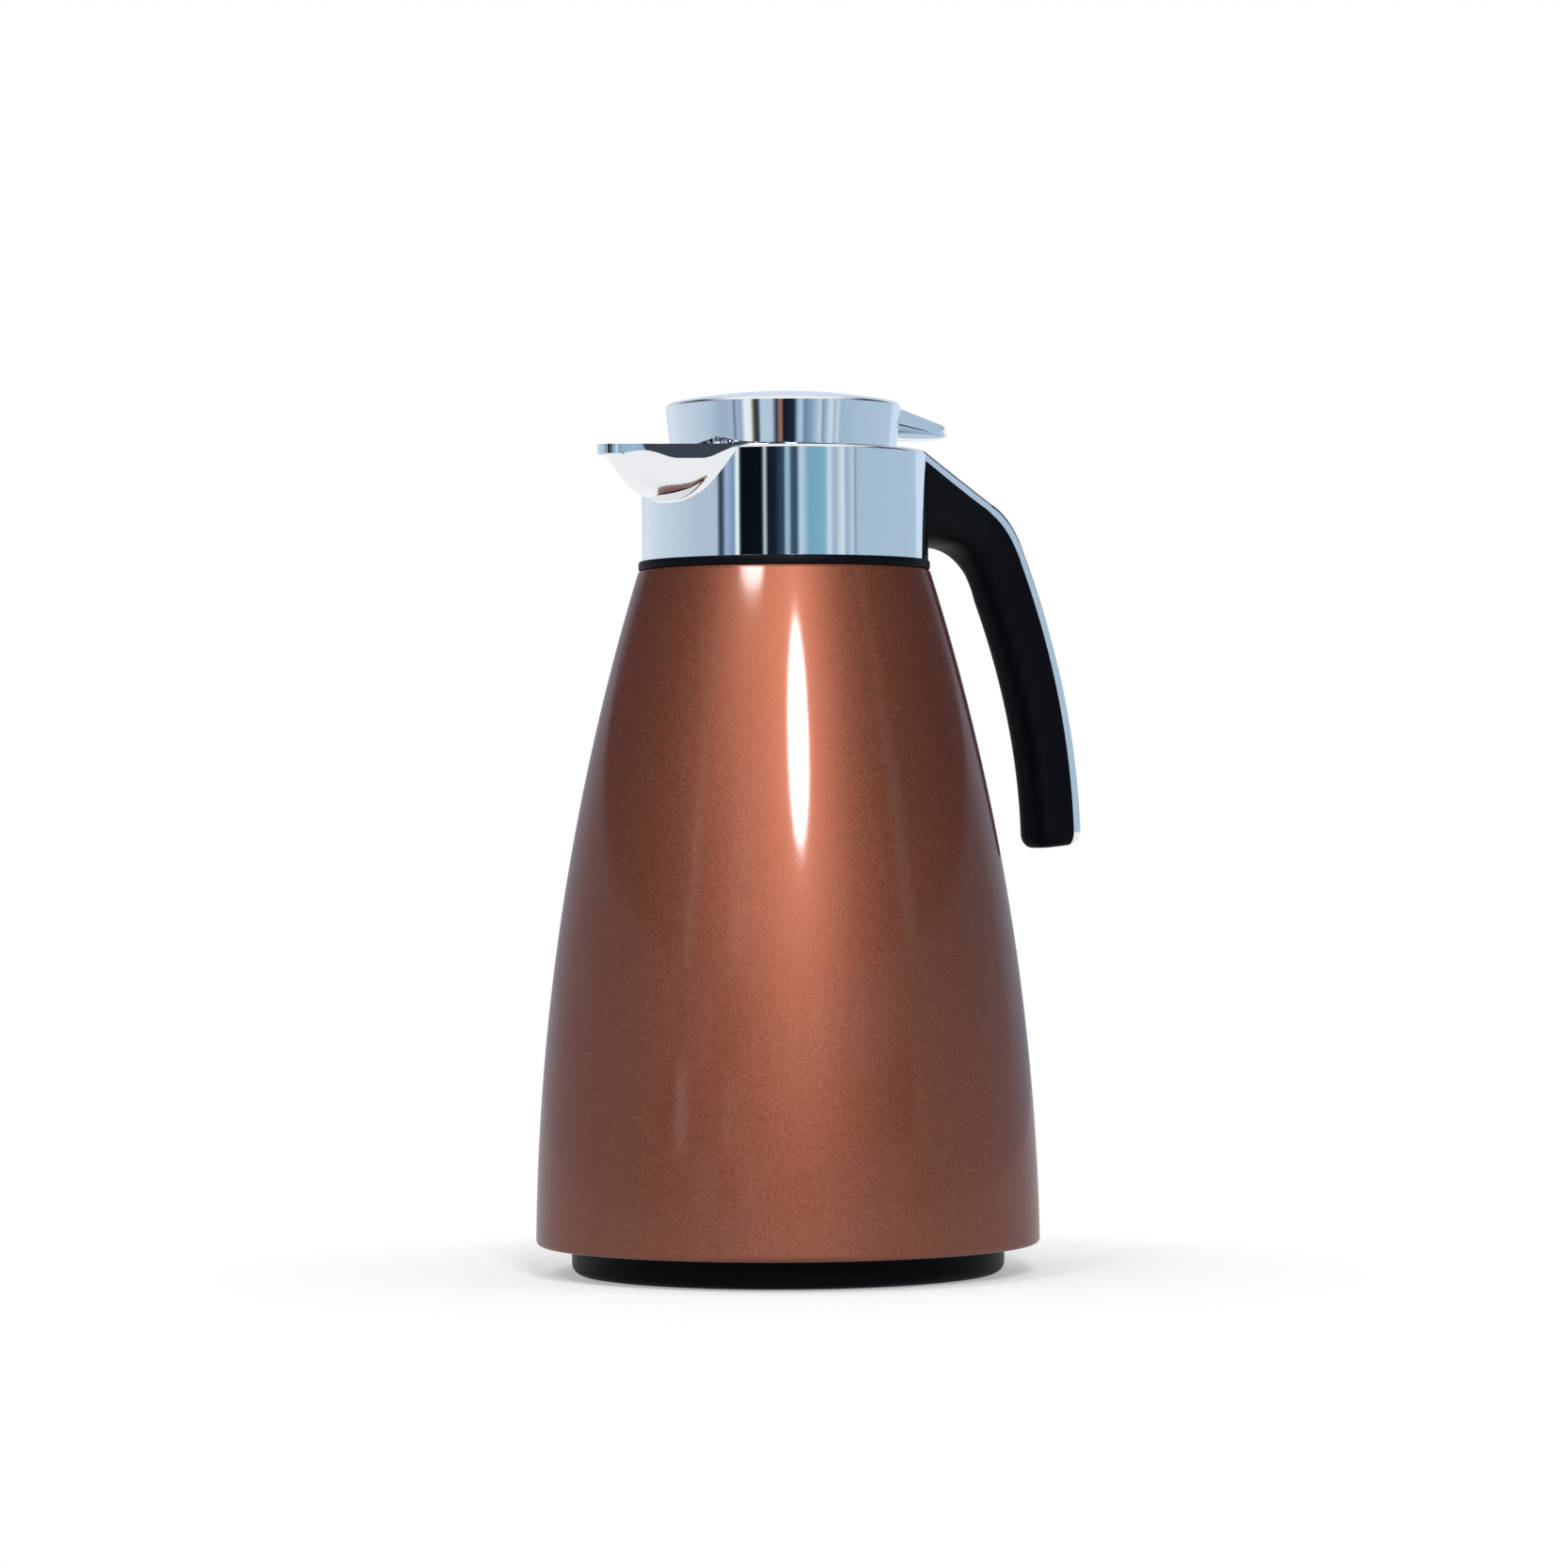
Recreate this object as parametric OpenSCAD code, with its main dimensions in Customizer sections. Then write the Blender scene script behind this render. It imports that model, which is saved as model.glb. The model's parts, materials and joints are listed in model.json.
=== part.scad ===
// Insulated pouring jug: a painted bell-shaped shell round a vacuum flask, with a
// plated collar and spout, a grip that hangs free at its lower end, and a lift-out
// lid whose thumb lever opens a spring-closed pouring valve.
// Millimetres. +Z is up, the jug's axis is Z, the table is z = 0.
// The spout points along -X and the handle along +X.

/* [Shell] */
// Radius of the bell where it is widest, at its foot
shell_r = 73; // [69:0.5:76]
// Height of the shell's top edge above the table
shell_h = 203.8; // [190:0.1:215]
// Thickness of the shell's sheet metal
shell_t = 0.6; // [0.5:0.1:0.9]
// Height of the shell's rolled lower edge above the table
shell_gap = 8.9; // [7.5:0.1:10]
// Radius of the roll along the shell's lower edge
shell_roll = 1.5; // [1:0.1:2]
// How far the lower edge turns inwards
shell_hem = 2.8; // [2.2:0.1:3.2]

/* [Base] */
// How far the base's wall is set in from the foot of the bell
foot_inset = 10.4; // [9.6:0.1:13]
// Height of the rounding under the foot
foot_round = 3.2; // [2:0.1:3.6]
// Wall thickness of the moulded base
base_t = 2.2; // [1.8:0.1:2.4]
// Radius of the rubber pad under the base
pad_r = 50; // [44:0.5:54]
// Thickness of the rubber pad
pad_t = 2; // [1.5:0.1:2.2]
// How far the pad stands below the base
pad_proud = 0.4; // [0.3:0.1:0.6]
// Number of screws that hold the base
base_screw_count = 3; // [3:1:6]

/* [Vacuum flask] */
// Radius of the flask's mouth
mouth_r = 25.5; // [24.5:0.1:26]
// Thickness of each glass wall
glass_t = 1.6; // [1.2:0.1:2]
// Width of the vacuum between the two walls
vacuum_gap = 4; // [3:0.1:4.5]
// Air space between the flask and the shell
flask_air = 3.5; // [3:0.1:4.5]
// Height of the flask's bottom above the table
flask_lift = 15.5; // [14:0.5:18]
// Height of the flask's domed bottom
flask_dome = 26; // [20:1:32]

/* [Collar and spout] */
// Outer radius of the collar
collar_r = 41.2; // [40.6:0.1:43]
// Height of the collar
collar_h = 31.6; // [30:0.1:33]
// Wall thickness of the collar
collar_t = 1.8; // [1.4:0.1:2.2]
// Rounding of the collar's top edge
collar_round = 1.7; // [0.6:0.1:1.7]
// Radius of the opening in the collar's top
deck_r = 34.8; // [34.2:0.1:36]
// Height of the black ring below the collar
ring_h = 2.6; // [2.2:0.1:3.4]
// How far the ring stands out past the collar
ring_proud = 1; // [0.5:0.1:1.6]
// Reach of the spout's tip from the jug's axis
spout_reach = 65.4; // [60:0.1:71]
// Depth of the spout where it leaves the collar
spout_depth = 15.1; // [12:0.1:15.6]
// Width of the spout where it leaves the collar
spout_w = 46.6; // [40:0.1:50]
// Width of the spout's tip
spout_tip_w = 8; // [6:0.5:12]
// Height of the lip at the spout's tip
spout_lip = 2.7; // [2.2:0.1:3.4]
// Wall thickness of the spout
spout_t = 1.7; // [1.4:0.1:2.2]

/* [Neck] */
// Bore of the neck sleeve that takes the stopper
neck_r = 26.3; // [26.1:0.1:27]
// Wall thickness of the neck sleeve
neck_t = 2; // [1.6:0.1:2.6]
// Height of the basin's floor above the collar's foot
basin_rise = 18.4; // [17.6:0.1:19]
// Thickness of the seal between sleeve and flask
gasket_t = 1.4; // [1:0.1:1.8]

/* [Handle] */
// Reach of the grip's lower end from the jug's axis
handle_reach = 106.3; // [103:0.1:112]
// Height of the grip's lower end above the table
handle_foot = 123.4; // [115:0.1:132]
// Width of the grip
grip_w = 16.4; // [14:0.2:20]
// Thickness of the grip and its trim at the lower end
grip_t = 14; // [13:0.1:17]
// Width of the flared root that wraps the collar
root_w = 44; // [38:1:50]
// Thickness of the plated strip on the grip's back
trim_t = 3.2; // [2.9:0.1:3.6]

/* [Lid] */
// Height of the lid's side above the collar
lid_h = 14.1; // [13.4:0.1:15.4]
// Radius of the lid at its top edge
lid_r = 34.1; // [33.6:0.1:34.4]
// How much the lid's side leans in towards its foot
lid_lean = 1.5; // [0.8:0.1:1.8]
// Rise of the lid's domed top
lid_dome = 3.3; // [2:0.1:5]
// Wall thickness of the lid
lid_t = 1.5; // [1.2:0.1:1.7]
// Rounding of the lid's top edge
lid_round = 1; // [0.6:0.1:1.4]
// How far the lid's side reaches down into the collar
lid_drop = 2; // [1:0.1:2.6]
// Radius of the four screws' circle in the lid
lid_screw_circle = 27.5; // [27:0.1:27.8]

/* [Lever] */
// Reach of the thumb lever's tip from the jug's axis
lever_reach = 58.6; // [54:0.1:62]
// Width of the lever where it leaves the lid
lever_w = 20; // [18:0.2:22]
// Width of the lever's rounded tip
lever_tip_w = 14; // [12:0.2:16]
// Fall of the lever's top from the lid's edge to its tip
lever_fall = 5.1; // [4.5:0.1:6]
// Depth of the rounded belly below the lid's top edge
lever_belly = 9.1; // [8.2:0.1:9.4]
// Distance of the lever's pin from the jug's axis
pivot_x = 24; // [22.5:0.1:24.5]
// Radius of the lever's pin
pin_r = 1.5; // [1.2:0.1:1.7]

/* [Stopper and valve] */
// Depth of the stopper below the basin's floor
stopper_depth = 30.6; // [29:0.1:33]
// Radius of the pouring channel through the stopper
channel_r = 9.5; // [8.5:0.1:10.5]
// Width of the outlet towards the spout
outlet_w = 14; // [10:0.5:16]
// Radius of the valve's disc
valve_r = 12.8; // [12.4:0.1:14]
// Radius of the valve's stem
stem_r = 3; // [2.5:0.1:3.3]
// Radius of the spring's wire
wire_r = 0.35; // [0.3:0.01:0.4]
// Number of turns in the valve's spring
spring_turns = 5; // [4:1:6]

/* [Fits] */
// Clearance between pieces of different moving groups
run_gap = 0.3; // [0.25:0.01:0.4]
// Clearance of a fixed piece in its seat
seat_gap = 0.1; // [0.05:0.01:0.15]
// Radial clearance of a pin or stem in its bearing
bearing_gap = 0.05; // [0.03:0.01:0.08]

/* [Hidden] */

$fn = 96;
round_steps = 6;    // chords in a small rounding
bell_steps = 28;    // chords along the bell's curve
eps = 0.01;

// Bell: an arc that stands upright at the table and ends at the shell's top edge
shell_top_r = collar_r + ring_proud;
bell_bow = shell_r - shell_top_r;
bell_rho = (shell_h ^ 2 + bell_bow ^ 2) / (2 * bell_bow);
shell_top_round = 0.8;
shell_top_hem = 3.4;
shell_edge_r = bell_r(shell_gap + shell_roll);

// Base
foot_r = shell_r - foot_inset;
base_floor = pad_t + base_t;
hem_r = shell_edge_r - shell_roll - shell_hem;
flange_r = hem_r + 1;
flange_h = base_t;
retainer_h = 7.4;
retainer_gap = seat_gap + 0.2;
ring_top = shell_gap + shell_t + retainer_h;
base_screw_circle = (hem_r + foot_r) / 2;
base_screw_bite = 3.6;
screw_r = 1.2;
screw_head_r = 2.3;
screw_head_h = 1.2;
socket_h = 7;
cushion_r = 24;
tip_hole_r = 7;

// Flask
lip_z = shell_h - 4.7;                       // top of the flask's lip
shoulder_z = lip_z - 17;                     // where the flask's side turns in
neck_z = lip_z - 7.5;                        // where the flask's neck begins
outer_inset = shell_t + flask_air;
inner_inset = outer_inset + glass_t + vacuum_gap;
outer_neck_r = mouth_r + 3 * glass_t + 1.4;
inner_neck_r = mouth_r + glass_t;
inner_lift = flask_lift + glass_t + vacuum_gap;
neck_lap = glass_t;

// Collar, ring and sleeve
collar_z = shell_h + ring_h;
collar_top = collar_z + collar_h;
collar_in = collar_r - collar_t;
deck_t = collar_t;
ring_spigot_r = shell_top_r - shell_top_hem - seat_gap;
ring_in = ring_spigot_r - 2.6;
ring_spigot_h = 3.4;
basin_z = collar_z + basin_rise;
basin_t = 1.8;
sleeve_z = lip_z + gasket_t;
sleeve_foot_h = 2.2;
sleeve_out = neck_r + neck_t;

// Spout, as depths below its rim and half-widths at distances from the axis
spout_rim = collar_top - 0.05;
spout_nose = 3.6;
spout_bend = collar_r + 0.5;                 // where the underside starts to rise
spout_end = spout_reach - 2.1;               // where the rising underside meets the lip
spout_swell = 4.1;                          // fullness of the rounded section
spout_fade = 10;                             // length over which the lip dies out
spout_edge = 0.8;                            // height of the rim's plain edge
spout_root_x = sqrt(collar_r ^ 2 - (spout_w / 2) ^ 2);
spout_inner_x = 28;

// Handle rails in the XZ plane: the outer one runs down the back of the strip, the
// inner one down the face that the fingers touch
handle_top = collar_top + 4.1;
handle_seat = collar_z + 6.2;
rail_x = 30;
knee_in = 31.3;                              // knee of the outer rail, in from the reach
knee_down = 14.2;                            // and down from the collar's top
turn_in = 25.9;                              // point that the knee bends round
turn_down = 16.4;
back_in = 22.4;                              // start of the long back
back_down = 25.5;
back_bulge = 0.7;                            // point that the back bends round, in from the reach
back_bulge_rise = 43.2;                      // and up from the handle's foot
arch_lap = 3.5;                              // arch over the fingers, out from the collar
arch_reach = 16;
arch_fall = 0.8;                             // fall of the arch's top
throat_in = 36.2;                            // point that the arch bends round, in from the reach
throat_down = 43.1;                          // lower end of the arch, down from the collar's top
palm_bulge = 0.6;                            // fullness of the face that the fingers touch
palm_rise = 34.8;
out_a = [rail_x, handle_top];
out_c = [handle_reach - knee_in, collar_top - knee_down];
out_b = (out_a + out_c) / 2;
out_d = [handle_reach - turn_in, collar_top - turn_down];
out_e = [handle_reach - back_in, collar_top - back_down];
out_f = [handle_reach - back_bulge, handle_foot + back_bulge_rise];
out_g = [handle_reach, handle_foot];
in_a = [rail_x, handle_seat];
in_b = [collar_r + arch_lap, handle_seat];
in_c = [collar_r + arch_reach, handle_seat - arch_fall];
in_d = [handle_reach - throat_in, handle_seat - 2 * arch_fall];
in_e = [handle_reach - knee_in, collar_top - throat_down];
in_f = [handle_reach - grip_t - palm_bulge, handle_foot + palm_rise];
in_g = [handle_reach - grip_t, handle_foot];
apron_t = 0.7;                               // plate of the grip's root against the collar
apron_w = root_w + 4;
apron_top = collar_top - 5;
grip_round = 2.7;                            // rounding of the lower end
grip_swell = 2.9;                            // fullness of the grip's section
trim_swell = 9;
handle_screw_r = 1.5;
handle_screw_z = collar_z + 12;
handle_screw_angles = [-9, 9];
handle_screw_head_r = 2.7;
handle_screw_len = 12;

// Lid
lid_edge_z = collar_top + lid_h;
lid_foot_z = collar_top - lid_drop;
lid_foot_r = lid_r - lid_lean;
dome_r = lid_r - lid_round;
dome_rho = (dome_r ^ 2 + lid_dome ^ 2) / (2 * lid_dome);
screw_angles = [55, 125, 235, 305];
boss_r = 3;
lid_screw_bite = 8;

// Stopper
stopper_z = basin_z - stopper_depth;
stopper_r = neck_r - run_gap - 0.1;
spigot_r = mouth_r - 0.7;
spigot_top = sleeve_z + 1.2;
stopper_deck_z = collar_top - 4;
stopper_deck_t = 2.6;
stopper_deck_top = stopper_deck_z + stopper_deck_t;
stopper_deck_r = lid_foot_r - lid_t - seat_gap;
stop_r = stopper_r + 3;                      // flange that meets the basin's floor
stop_t = 2;
seal_z = sleeve_z + 3.4;
seal_h = 2.6;
seal_r = neck_r - run_gap;
seal_in = seal_r - 2.3;
outlet_z = basin_z + run_gap + stop_t + 0.6;
outlet_top = stopper_deck_z - 0.2;

// Lever and its pin
pivot_z = lid_edge_z - 4.2;
arm_w = 16;
arm_z = pivot_z - 1.5;
arm_top = pivot_z + 1.4;
hub_r = 3.1;
ear_t = 2.5;
ear_y = arm_w / 2 + run_gap;
notch_x = 22;
lever_side = lever_w / 2 + 2 * run_gap;
lever_front = notch_x + 2 * run_gap;
lever_wall_root = 4.8;                       // side wall below the top, at the lid
lever_wall_tip = 2.4;
lever_nose = 4;                              // rounding of the tip as seen from the side
lever_arm_lap = 4;                           // how far the arm runs into the paddle
slot_z = lid_edge_z - lever_belly - 4.9;

// Valve
bush_r = 5;
bush_flange_r = 7.4;
bush_flange_t = 1.2;
bush_drop = 1.6;
stem_top = arm_z - run_gap;
cap_z = stem_top - 2.4;
cap_t = 1.2;
cap_r = 6.9;
spring_z = stopper_deck_top + bush_flange_t;
spring_r = 5.6;
washer_t = 2;
washer_z = stopper_z - run_gap - washer_t;
disc_t = 1.8;
stem_foot = washer_z - disc_t - 1.2;

copper = "#9c5a3c";
chrome = "#c9d3da";
black = "#17181a";
rubber = "#232323";
glass = "#c9dfe6";
steel = "#a9adb1";
silicone = "#d8d4cc";

// ---------------------------------------------------------------- shared shapes

function bell_r(z) = shell_r - bell_rho + sqrt(bell_rho ^ 2 - z ^ 2);

function dome_z(r) = lid_edge_z + lid_dome - dome_rho + sqrt(dome_rho ^ 2 - r ^ 2);

function arc(c, r, from, to, steps = round_steps) = [
    for (i = [0 : steps])
        let (a = from + (to - from) * i / steps)
            [c[0] + r * cos(a), c[1] + r * sin(a)]
];

// The bell's side, drawn in by inset, from one height to another
function bell_side(inset, from, to, steps = bell_steps) = [
    for (i = [0 : steps])
        let (z = from + (to - from) * i / steps)
            [bell_r(z) - inset, z]
];

function reverse(points) = [for (i = [len(points) - 1 : -1 : 0]) points[i]];

function bezier(a, b, c, t) = (1 - t) ^ 2 * a + 2 * t * (1 - t) * b + t ^ 2 * c;

module lathe(points) {
    rotate_extrude($fn = 180) polygon(points);
}

// Skin over a row of flat rings that all have the same number of points
module loft(rings) {
    n = len(rings[0]);
    m = len(rings);
    sides = [
        for (i = [0 : m - 2], j = [0 : n - 1])
            let (a = i * n + j, b = i * n + (j + 1) % n)
                each [[a, b, b + n], [a, b + n, a + n]]
    ];
    ends = [
        [for (j = [n - 1 : -1 : 0]) j],
        [for (j = [0 : n - 1]) (m - 1) * n + j]
    ];
    polyhedron([for (ring = rings) each ring], concat(sides, ends));
}

module ring_of(count, radius, first = 0) {
    for (i = [0 : count - 1])
        rotate([0, 0, first + i * 360 / count]) translate([radius, 0, 0]) children();
}

// ---------------------------------------------------------------- shell and base

module body_shell() {
    roll_c = [shell_edge_r - shell_roll, shell_gap + shell_roll];
    top_c = [shell_top_r - shell_top_round, shell_h - shell_top_round];
    side_top = shell_h - shell_top_round;
    color(copper) lathe(concat(
        [[hem_r, shell_gap]],
        arc(roll_c, shell_roll, -90, 0),
        bell_side(0, shell_gap + shell_roll + 1, side_top),
        arc(top_c, shell_top_round, 0, 90),
        [[shell_top_r - shell_top_hem, shell_h]],
        [[shell_top_r - shell_top_hem, shell_h - shell_t]],
        reverse(arc(top_c, shell_top_round - shell_t, 0, 90)),
        reverse(bell_side(shell_t, shell_gap + shell_roll + 1, side_top)),
        reverse(arc(roll_c, shell_roll - shell_t, -90, 0)),
        [[hem_r, shell_gap + shell_t]]
    ));
}

// Ring inside the shell's hem that takes the base screws
module retaining_ring() {
    hem_z = shell_gap + shell_t;
    seat_z = shell_gap + flange_h;
    out = bell_r(ring_top) - shell_t - seat_gap;
    color(black) difference() {
        lathe([
            [flange_r + retainer_gap, hem_z],
            [shell_edge_r - shell_roll, hem_z],
            [out, hem_z + shell_roll],
            [out, ring_top],
            [foot_r - 2 * base_t, ring_top],
            [foot_r - 2 * base_t, seat_z],
            [flange_r + retainer_gap, seat_z]
        ]);
        ring_of(base_screw_count, base_screw_circle)
            translate([0, 0, seat_z - 1]) cylinder(r = screw_r, h = ring_top - seat_z);
    }
}

module base_foot() {
    inner = foot_r - base_t;
    seat_z = shell_gap + flange_h;
    color(black) difference() {
        lathe(concat(
            [[0, pad_proud]],
            arc([foot_r - foot_round, pad_proud + foot_round], foot_round, -90, 0),
            [
                [foot_r, shell_gap],
                [hem_r - seat_gap, shell_gap],
                [hem_r - seat_gap, shell_gap + shell_t],
                [flange_r, shell_gap + shell_t],
                [flange_r, seat_z],
                [inner, seat_z],
                [inner, base_floor],
                [cushion_r + seat_gap + base_t, base_floor],
                [cushion_r + seat_gap + base_t, base_floor + socket_h],
                [cushion_r + seat_gap, base_floor + socket_h],
                [cushion_r + seat_gap, base_floor],
                [0, base_floor]
            ]
        ));
        translate([0, 0, pad_proud - 1]) cylinder(r = pad_r + seat_gap, h = pad_t - pad_proud + 1);
        ring_of(base_screw_count, base_screw_circle) {
            translate([0, 0, shell_gap - 1]) cylinder(r = screw_r + seat_gap, h = flange_h + 2);
            translate([0, 0, shell_gap - 1]) cylinder(r = screw_head_r + seat_gap, h = screw_head_h + 1);
        }
    }
}

module foot_pad() {
    color(rubber) lathe([
        [0, 0],
        [pad_r - 0.4, 0],
        [pad_r, 0.4],
        [pad_r, pad_t],
        [0, pad_t]
    ]);
}

module base_screws() {
    color(steel) ring_of(base_screw_count, base_screw_circle) difference() {
        union() {
            translate([0, 0, shell_gap]) cylinder(r = screw_head_r, h = screw_head_h);
            translate([0, 0, shell_gap]) cylinder(r = screw_r, h = flange_h + base_screw_bite);
        }
        for (turn = [0, 90])
            translate([0, 0, shell_gap]) rotate([0, 0, turn])
                cube([2.6, 0.5, 1.2], center = true);
    }
}

// ---------------------------------------------------------------- vacuum flask

// Outline of one glass bulb from its bottom to its neck
function bulb(inset, lift, neck, top) = let (
    dome_top = lift + flask_dome,
    side_r = bell_r(dome_top) - inset,
    shoulder_r = bell_r(shoulder_z) - inset
) concat(
    [for (a = [0 : 7.5 : 90]) [side_r * sin(a), dome_top - flask_dome * cos(a)]],
    bell_side(inset, dome_top + 8, shoulder_z, 16),
    [
        for (a = [15 : 15 : 90])
            [neck + (shoulder_r - neck) * cos(a), shoulder_z + (neck_z - shoulder_z) * sin(a)]
    ],
    [[neck, top]]
);

module flask_outer() {
    color(glass) lathe(concat(
        bulb(outer_inset, flask_lift, outer_neck_r, lip_z),
        [[mouth_r, lip_z], [mouth_r, lip_z - neck_lap], [outer_neck_r - glass_t, lip_z - neck_lap]],
        reverse(bulb(outer_inset + glass_t, flask_lift + glass_t, outer_neck_r - glass_t,
            lip_z - neck_lap - 0.5))
    ));
}

module flask_inner() {
    color(glass) lathe(concat(
        bulb(inner_inset, inner_lift, inner_neck_r, lip_z - neck_lap),
        reverse(bulb(inner_inset + glass_t, inner_lift + glass_t, mouth_r, lip_z - neck_lap))
    ));
}

// Rubber seat that carries the flask; its top follows the flask's domed bottom
module flask_cushion() {
    side_r = bell_r(flask_lift + flask_dome) - outer_inset;
    seat = [
        for (i = [0 : 8])
            let (r = tip_hole_r + (cushion_r - 1.5 - tip_hole_r) * i / 8)
                [r, flask_lift - seat_gap + flask_dome * (1 - sqrt(1 - (r / side_r) ^ 2))]
    ];
    color(rubber) lathe(concat(
        [[tip_hole_r, base_floor], [cushion_r, base_floor], [cushion_r, flask_lift]],
        reverse(seat)
    ));
}

// ---------------------------------------------------------------- neck and collar

module neck_gasket() {
    color(silicone) lathe([
        [mouth_r + 0.4, lip_z],
        [outer_neck_r, lip_z],
        [outer_neck_r, sleeve_z],
        [mouth_r + 0.4, sleeve_z]
    ]);
}

// Black ring between shell and collar, with a spigot inside the shell's mouth
module neck_ring() {
    color(black) lathe([
        [ring_in, shell_h - ring_spigot_h],
        [ring_spigot_r, shell_h - ring_spigot_h],
        [ring_spigot_r, shell_h],
        [shell_top_r, shell_h],
        [shell_top_r + 0.1, shell_h + 0.5],
        [shell_top_r + 0.1, collar_z - 0.9],
        [shell_top_r - 0.3, collar_z - 0.4],
        [shell_top_r - 0.3, collar_z],
        [ring_in, collar_z]
    ]);
}

function spout_half(x, thin) = let (
    nose_x = spout_reach - spout_nose,
    grow = (spout_w - spout_tip_w) / 2 / (nose_x - spout_root_x),
    nose = (x - nose_x) / (spout_nose - thin)
) x < nose_x
    ? spout_tip_w / 2 - thin + grow * (nose_x - x)
    : max(0.4, (spout_tip_w / 2 - thin) * sqrt(max(0, 1 - nose ^ 2)));

function spout_drop(x) = x < spout_bend
    ? spout_depth
    : max(spout_lip, spout_depth * (1 - ((x - spout_bend) / (spout_end - spout_bend)) ^ 2));

function spout_side(x) = min(spout_lip, max(spout_edge,
    spout_lip - (spout_lip - spout_edge) * (spout_reach - spout_nose - x) / spout_fade));

// One cross-section of the spout: a rounded V hung from a flat rim
function spout_ring(x, thin, top) = let (
    half = spout_half(x, thin),
    drop = max(0.9, spout_drop(x) - thin),
    edge = thin > 0 ? 0.2 : spout_side(x)
) concat(
    [[-x, half, top], [-x, half, spout_rim - edge]],
    [
        for (i = [1 : 15])
            let (s = 1 - i / 8)
                [-x, half * s, spout_rim - max(edge, drop * (1 - abs(s) ^ spout_swell))]
    ],
    [[-x, -half, spout_rim - edge], [-x, -half, top]]
);

module spout_form(thin, from, top) {
    nose_x = spout_reach - spout_nose;
    tip_x = spout_reach - thin;
    xs = concat(
        [for (i = [0 : 12]) from + (nose_x - from) * i / 12],
        [for (a = [25 : 21 : 88]) nose_x + (tip_x - nose_x) * sin(a)]
    );
    loft([for (x = reverse(xs)) spout_ring(x, thin, top)]);
}

module collar() {
    edge_c = [collar_r - collar_round, collar_top - collar_round];
    color(chrome) difference() {
        union() {
            lathe(concat(
                [[0, collar_z], [collar_r, collar_z]],
                arc(edge_c, collar_round, 0, 90),
                [[0, collar_top]]
            ));
            spout_form(0, rail_x, spout_rim);
        }
        translate([0, 0, collar_z - 1]) cylinder(r = collar_in, h = collar_h - deck_t + 1);
        translate([0, 0, collar_top - deck_t - 1]) cylinder(r = deck_r, h = deck_t + 2);
        spout_form(spout_t, spout_inner_x, collar_top + 2);
        handle_screw_places(collar_in - 2)
            cylinder(r = handle_screw_r + seat_gap, h = collar_t + 4);
    }
}

// Sleeve that takes the stopper; its broad top is the floor that drains to the spout
module neck_sleeve() {
    color(black) lathe([
        [neck_r, sleeve_z],
        [outer_neck_r, sleeve_z],
        [outer_neck_r, sleeve_z + sleeve_foot_h],
        [sleeve_out, sleeve_z + sleeve_foot_h],
        [sleeve_out, collar_z],
        [collar_in - seat_gap, collar_z],
        [collar_in - seat_gap, collar_z + basin_t],
        [sleeve_out, collar_z + basin_t],
        [sleeve_out, basin_z - basin_t],
        [collar_in - seat_gap, basin_z - basin_t],
        [collar_in - seat_gap, basin_z],
        [neck_r + 0.6, basin_z],
        [neck_r, basin_z - 0.6]
    ]);
}

// ---------------------------------------------------------------- handle

// Stations down the handle: outer point, inner point, half-width and end rounding
function handle_stations() = concat(
    [
        for (i = [0 : 9])
            let (t = i / 10)
                [
                    bezier(out_a, out_b, out_c, t), bezier(in_a, in_b, in_c, t),
                    (grip_w + (root_w - grip_w) * (1 - t)) / 2
                ]
    ],
    [for (i = [0 : 6]) [bezier(out_c, out_d, out_e, i / 7), bezier(in_c, in_d, in_e, i / 7), grip_w / 2]],
    [for (i = [0 : 12]) let (t = i / 12 * (1 - grip_round / 90))
        [bezier(out_e, out_f, out_g, t), bezier(in_e, in_f, in_g, t), grip_w / 2]]
);

// The last four stations close the lower end with a rounding
function handle_end() = let (
    last = handle_stations()[len(handle_stations()) - 1]
) [
    for (a = [22.5 : 22.5 : 90])
        let (
            shrink = grip_round * (1 - cos(a)),
            down = [0, handle_foot - last[0][1]] * sin(a)
        )
            [last[0] + down - [shrink, 0], last[1] + down + [shrink, 0], last[2] - shrink, shrink]
];

function back_point(s, depth) = let (
    line = s[1] - s[0]
) s[0] + line / norm(line) * depth;

// Half of a rounded section, from the flat at a towards b
function half_ring(a, b, half, swell, steps) = [
    for (i = [0 : steps])
        let (
            t = 180 * i / steps,
            out = max(0, sin(t)) ^ (2 / swell),
            across = sign(cos(t)) * abs(cos(t)) ^ (2 / swell),
            p = a + (b - a) * out
        )
            [p[0], half * across, p[1]]
];

module handle_body(strip) {
    plain = [for (s = handle_stations()) [s[0], s[1], s[2], 0]];
    rings = [
        for (s = concat(plain, handle_end()))
            let (seam = back_point(s, trim_t - s[3]))
                strip
                    ? reverse(half_ring(seam, s[0], s[2], trim_swell, 12))
                    : half_ring(seam, s[1], s[2], grip_swell, 16)
    ];
    difference() {
        loft(rings);
        translate([0, 0, collar_z]) cylinder(r = collar_r + seat_gap / 2, h = 2 * collar_h);
    }
}

// Puts its children where each handle screw crosses a radius, pointing outwards
module handle_screw_places(radius) {
    for (a = handle_screw_angles)
        rotate([0, 0, a]) translate([radius, 0, handle_screw_z]) rotate([0, 90, 0]) children();
}

// Plate that carries the grip's root down the back of the collar to its foot
module handle_apron() {
    foot = collar_z + seat_gap;
    intersection() {
        difference() {
            translate([0, 0, foot]) cylinder(r = collar_r + apron_t, h = apron_top - foot);
            translate([0, 0, collar_z]) cylinder(r = collar_r + seat_gap / 2, h = collar_h);
        }
        translate([0, -apron_w / 2, collar_z]) cube([collar_r + apron_t, apron_w, collar_h]);
    }
}

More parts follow.
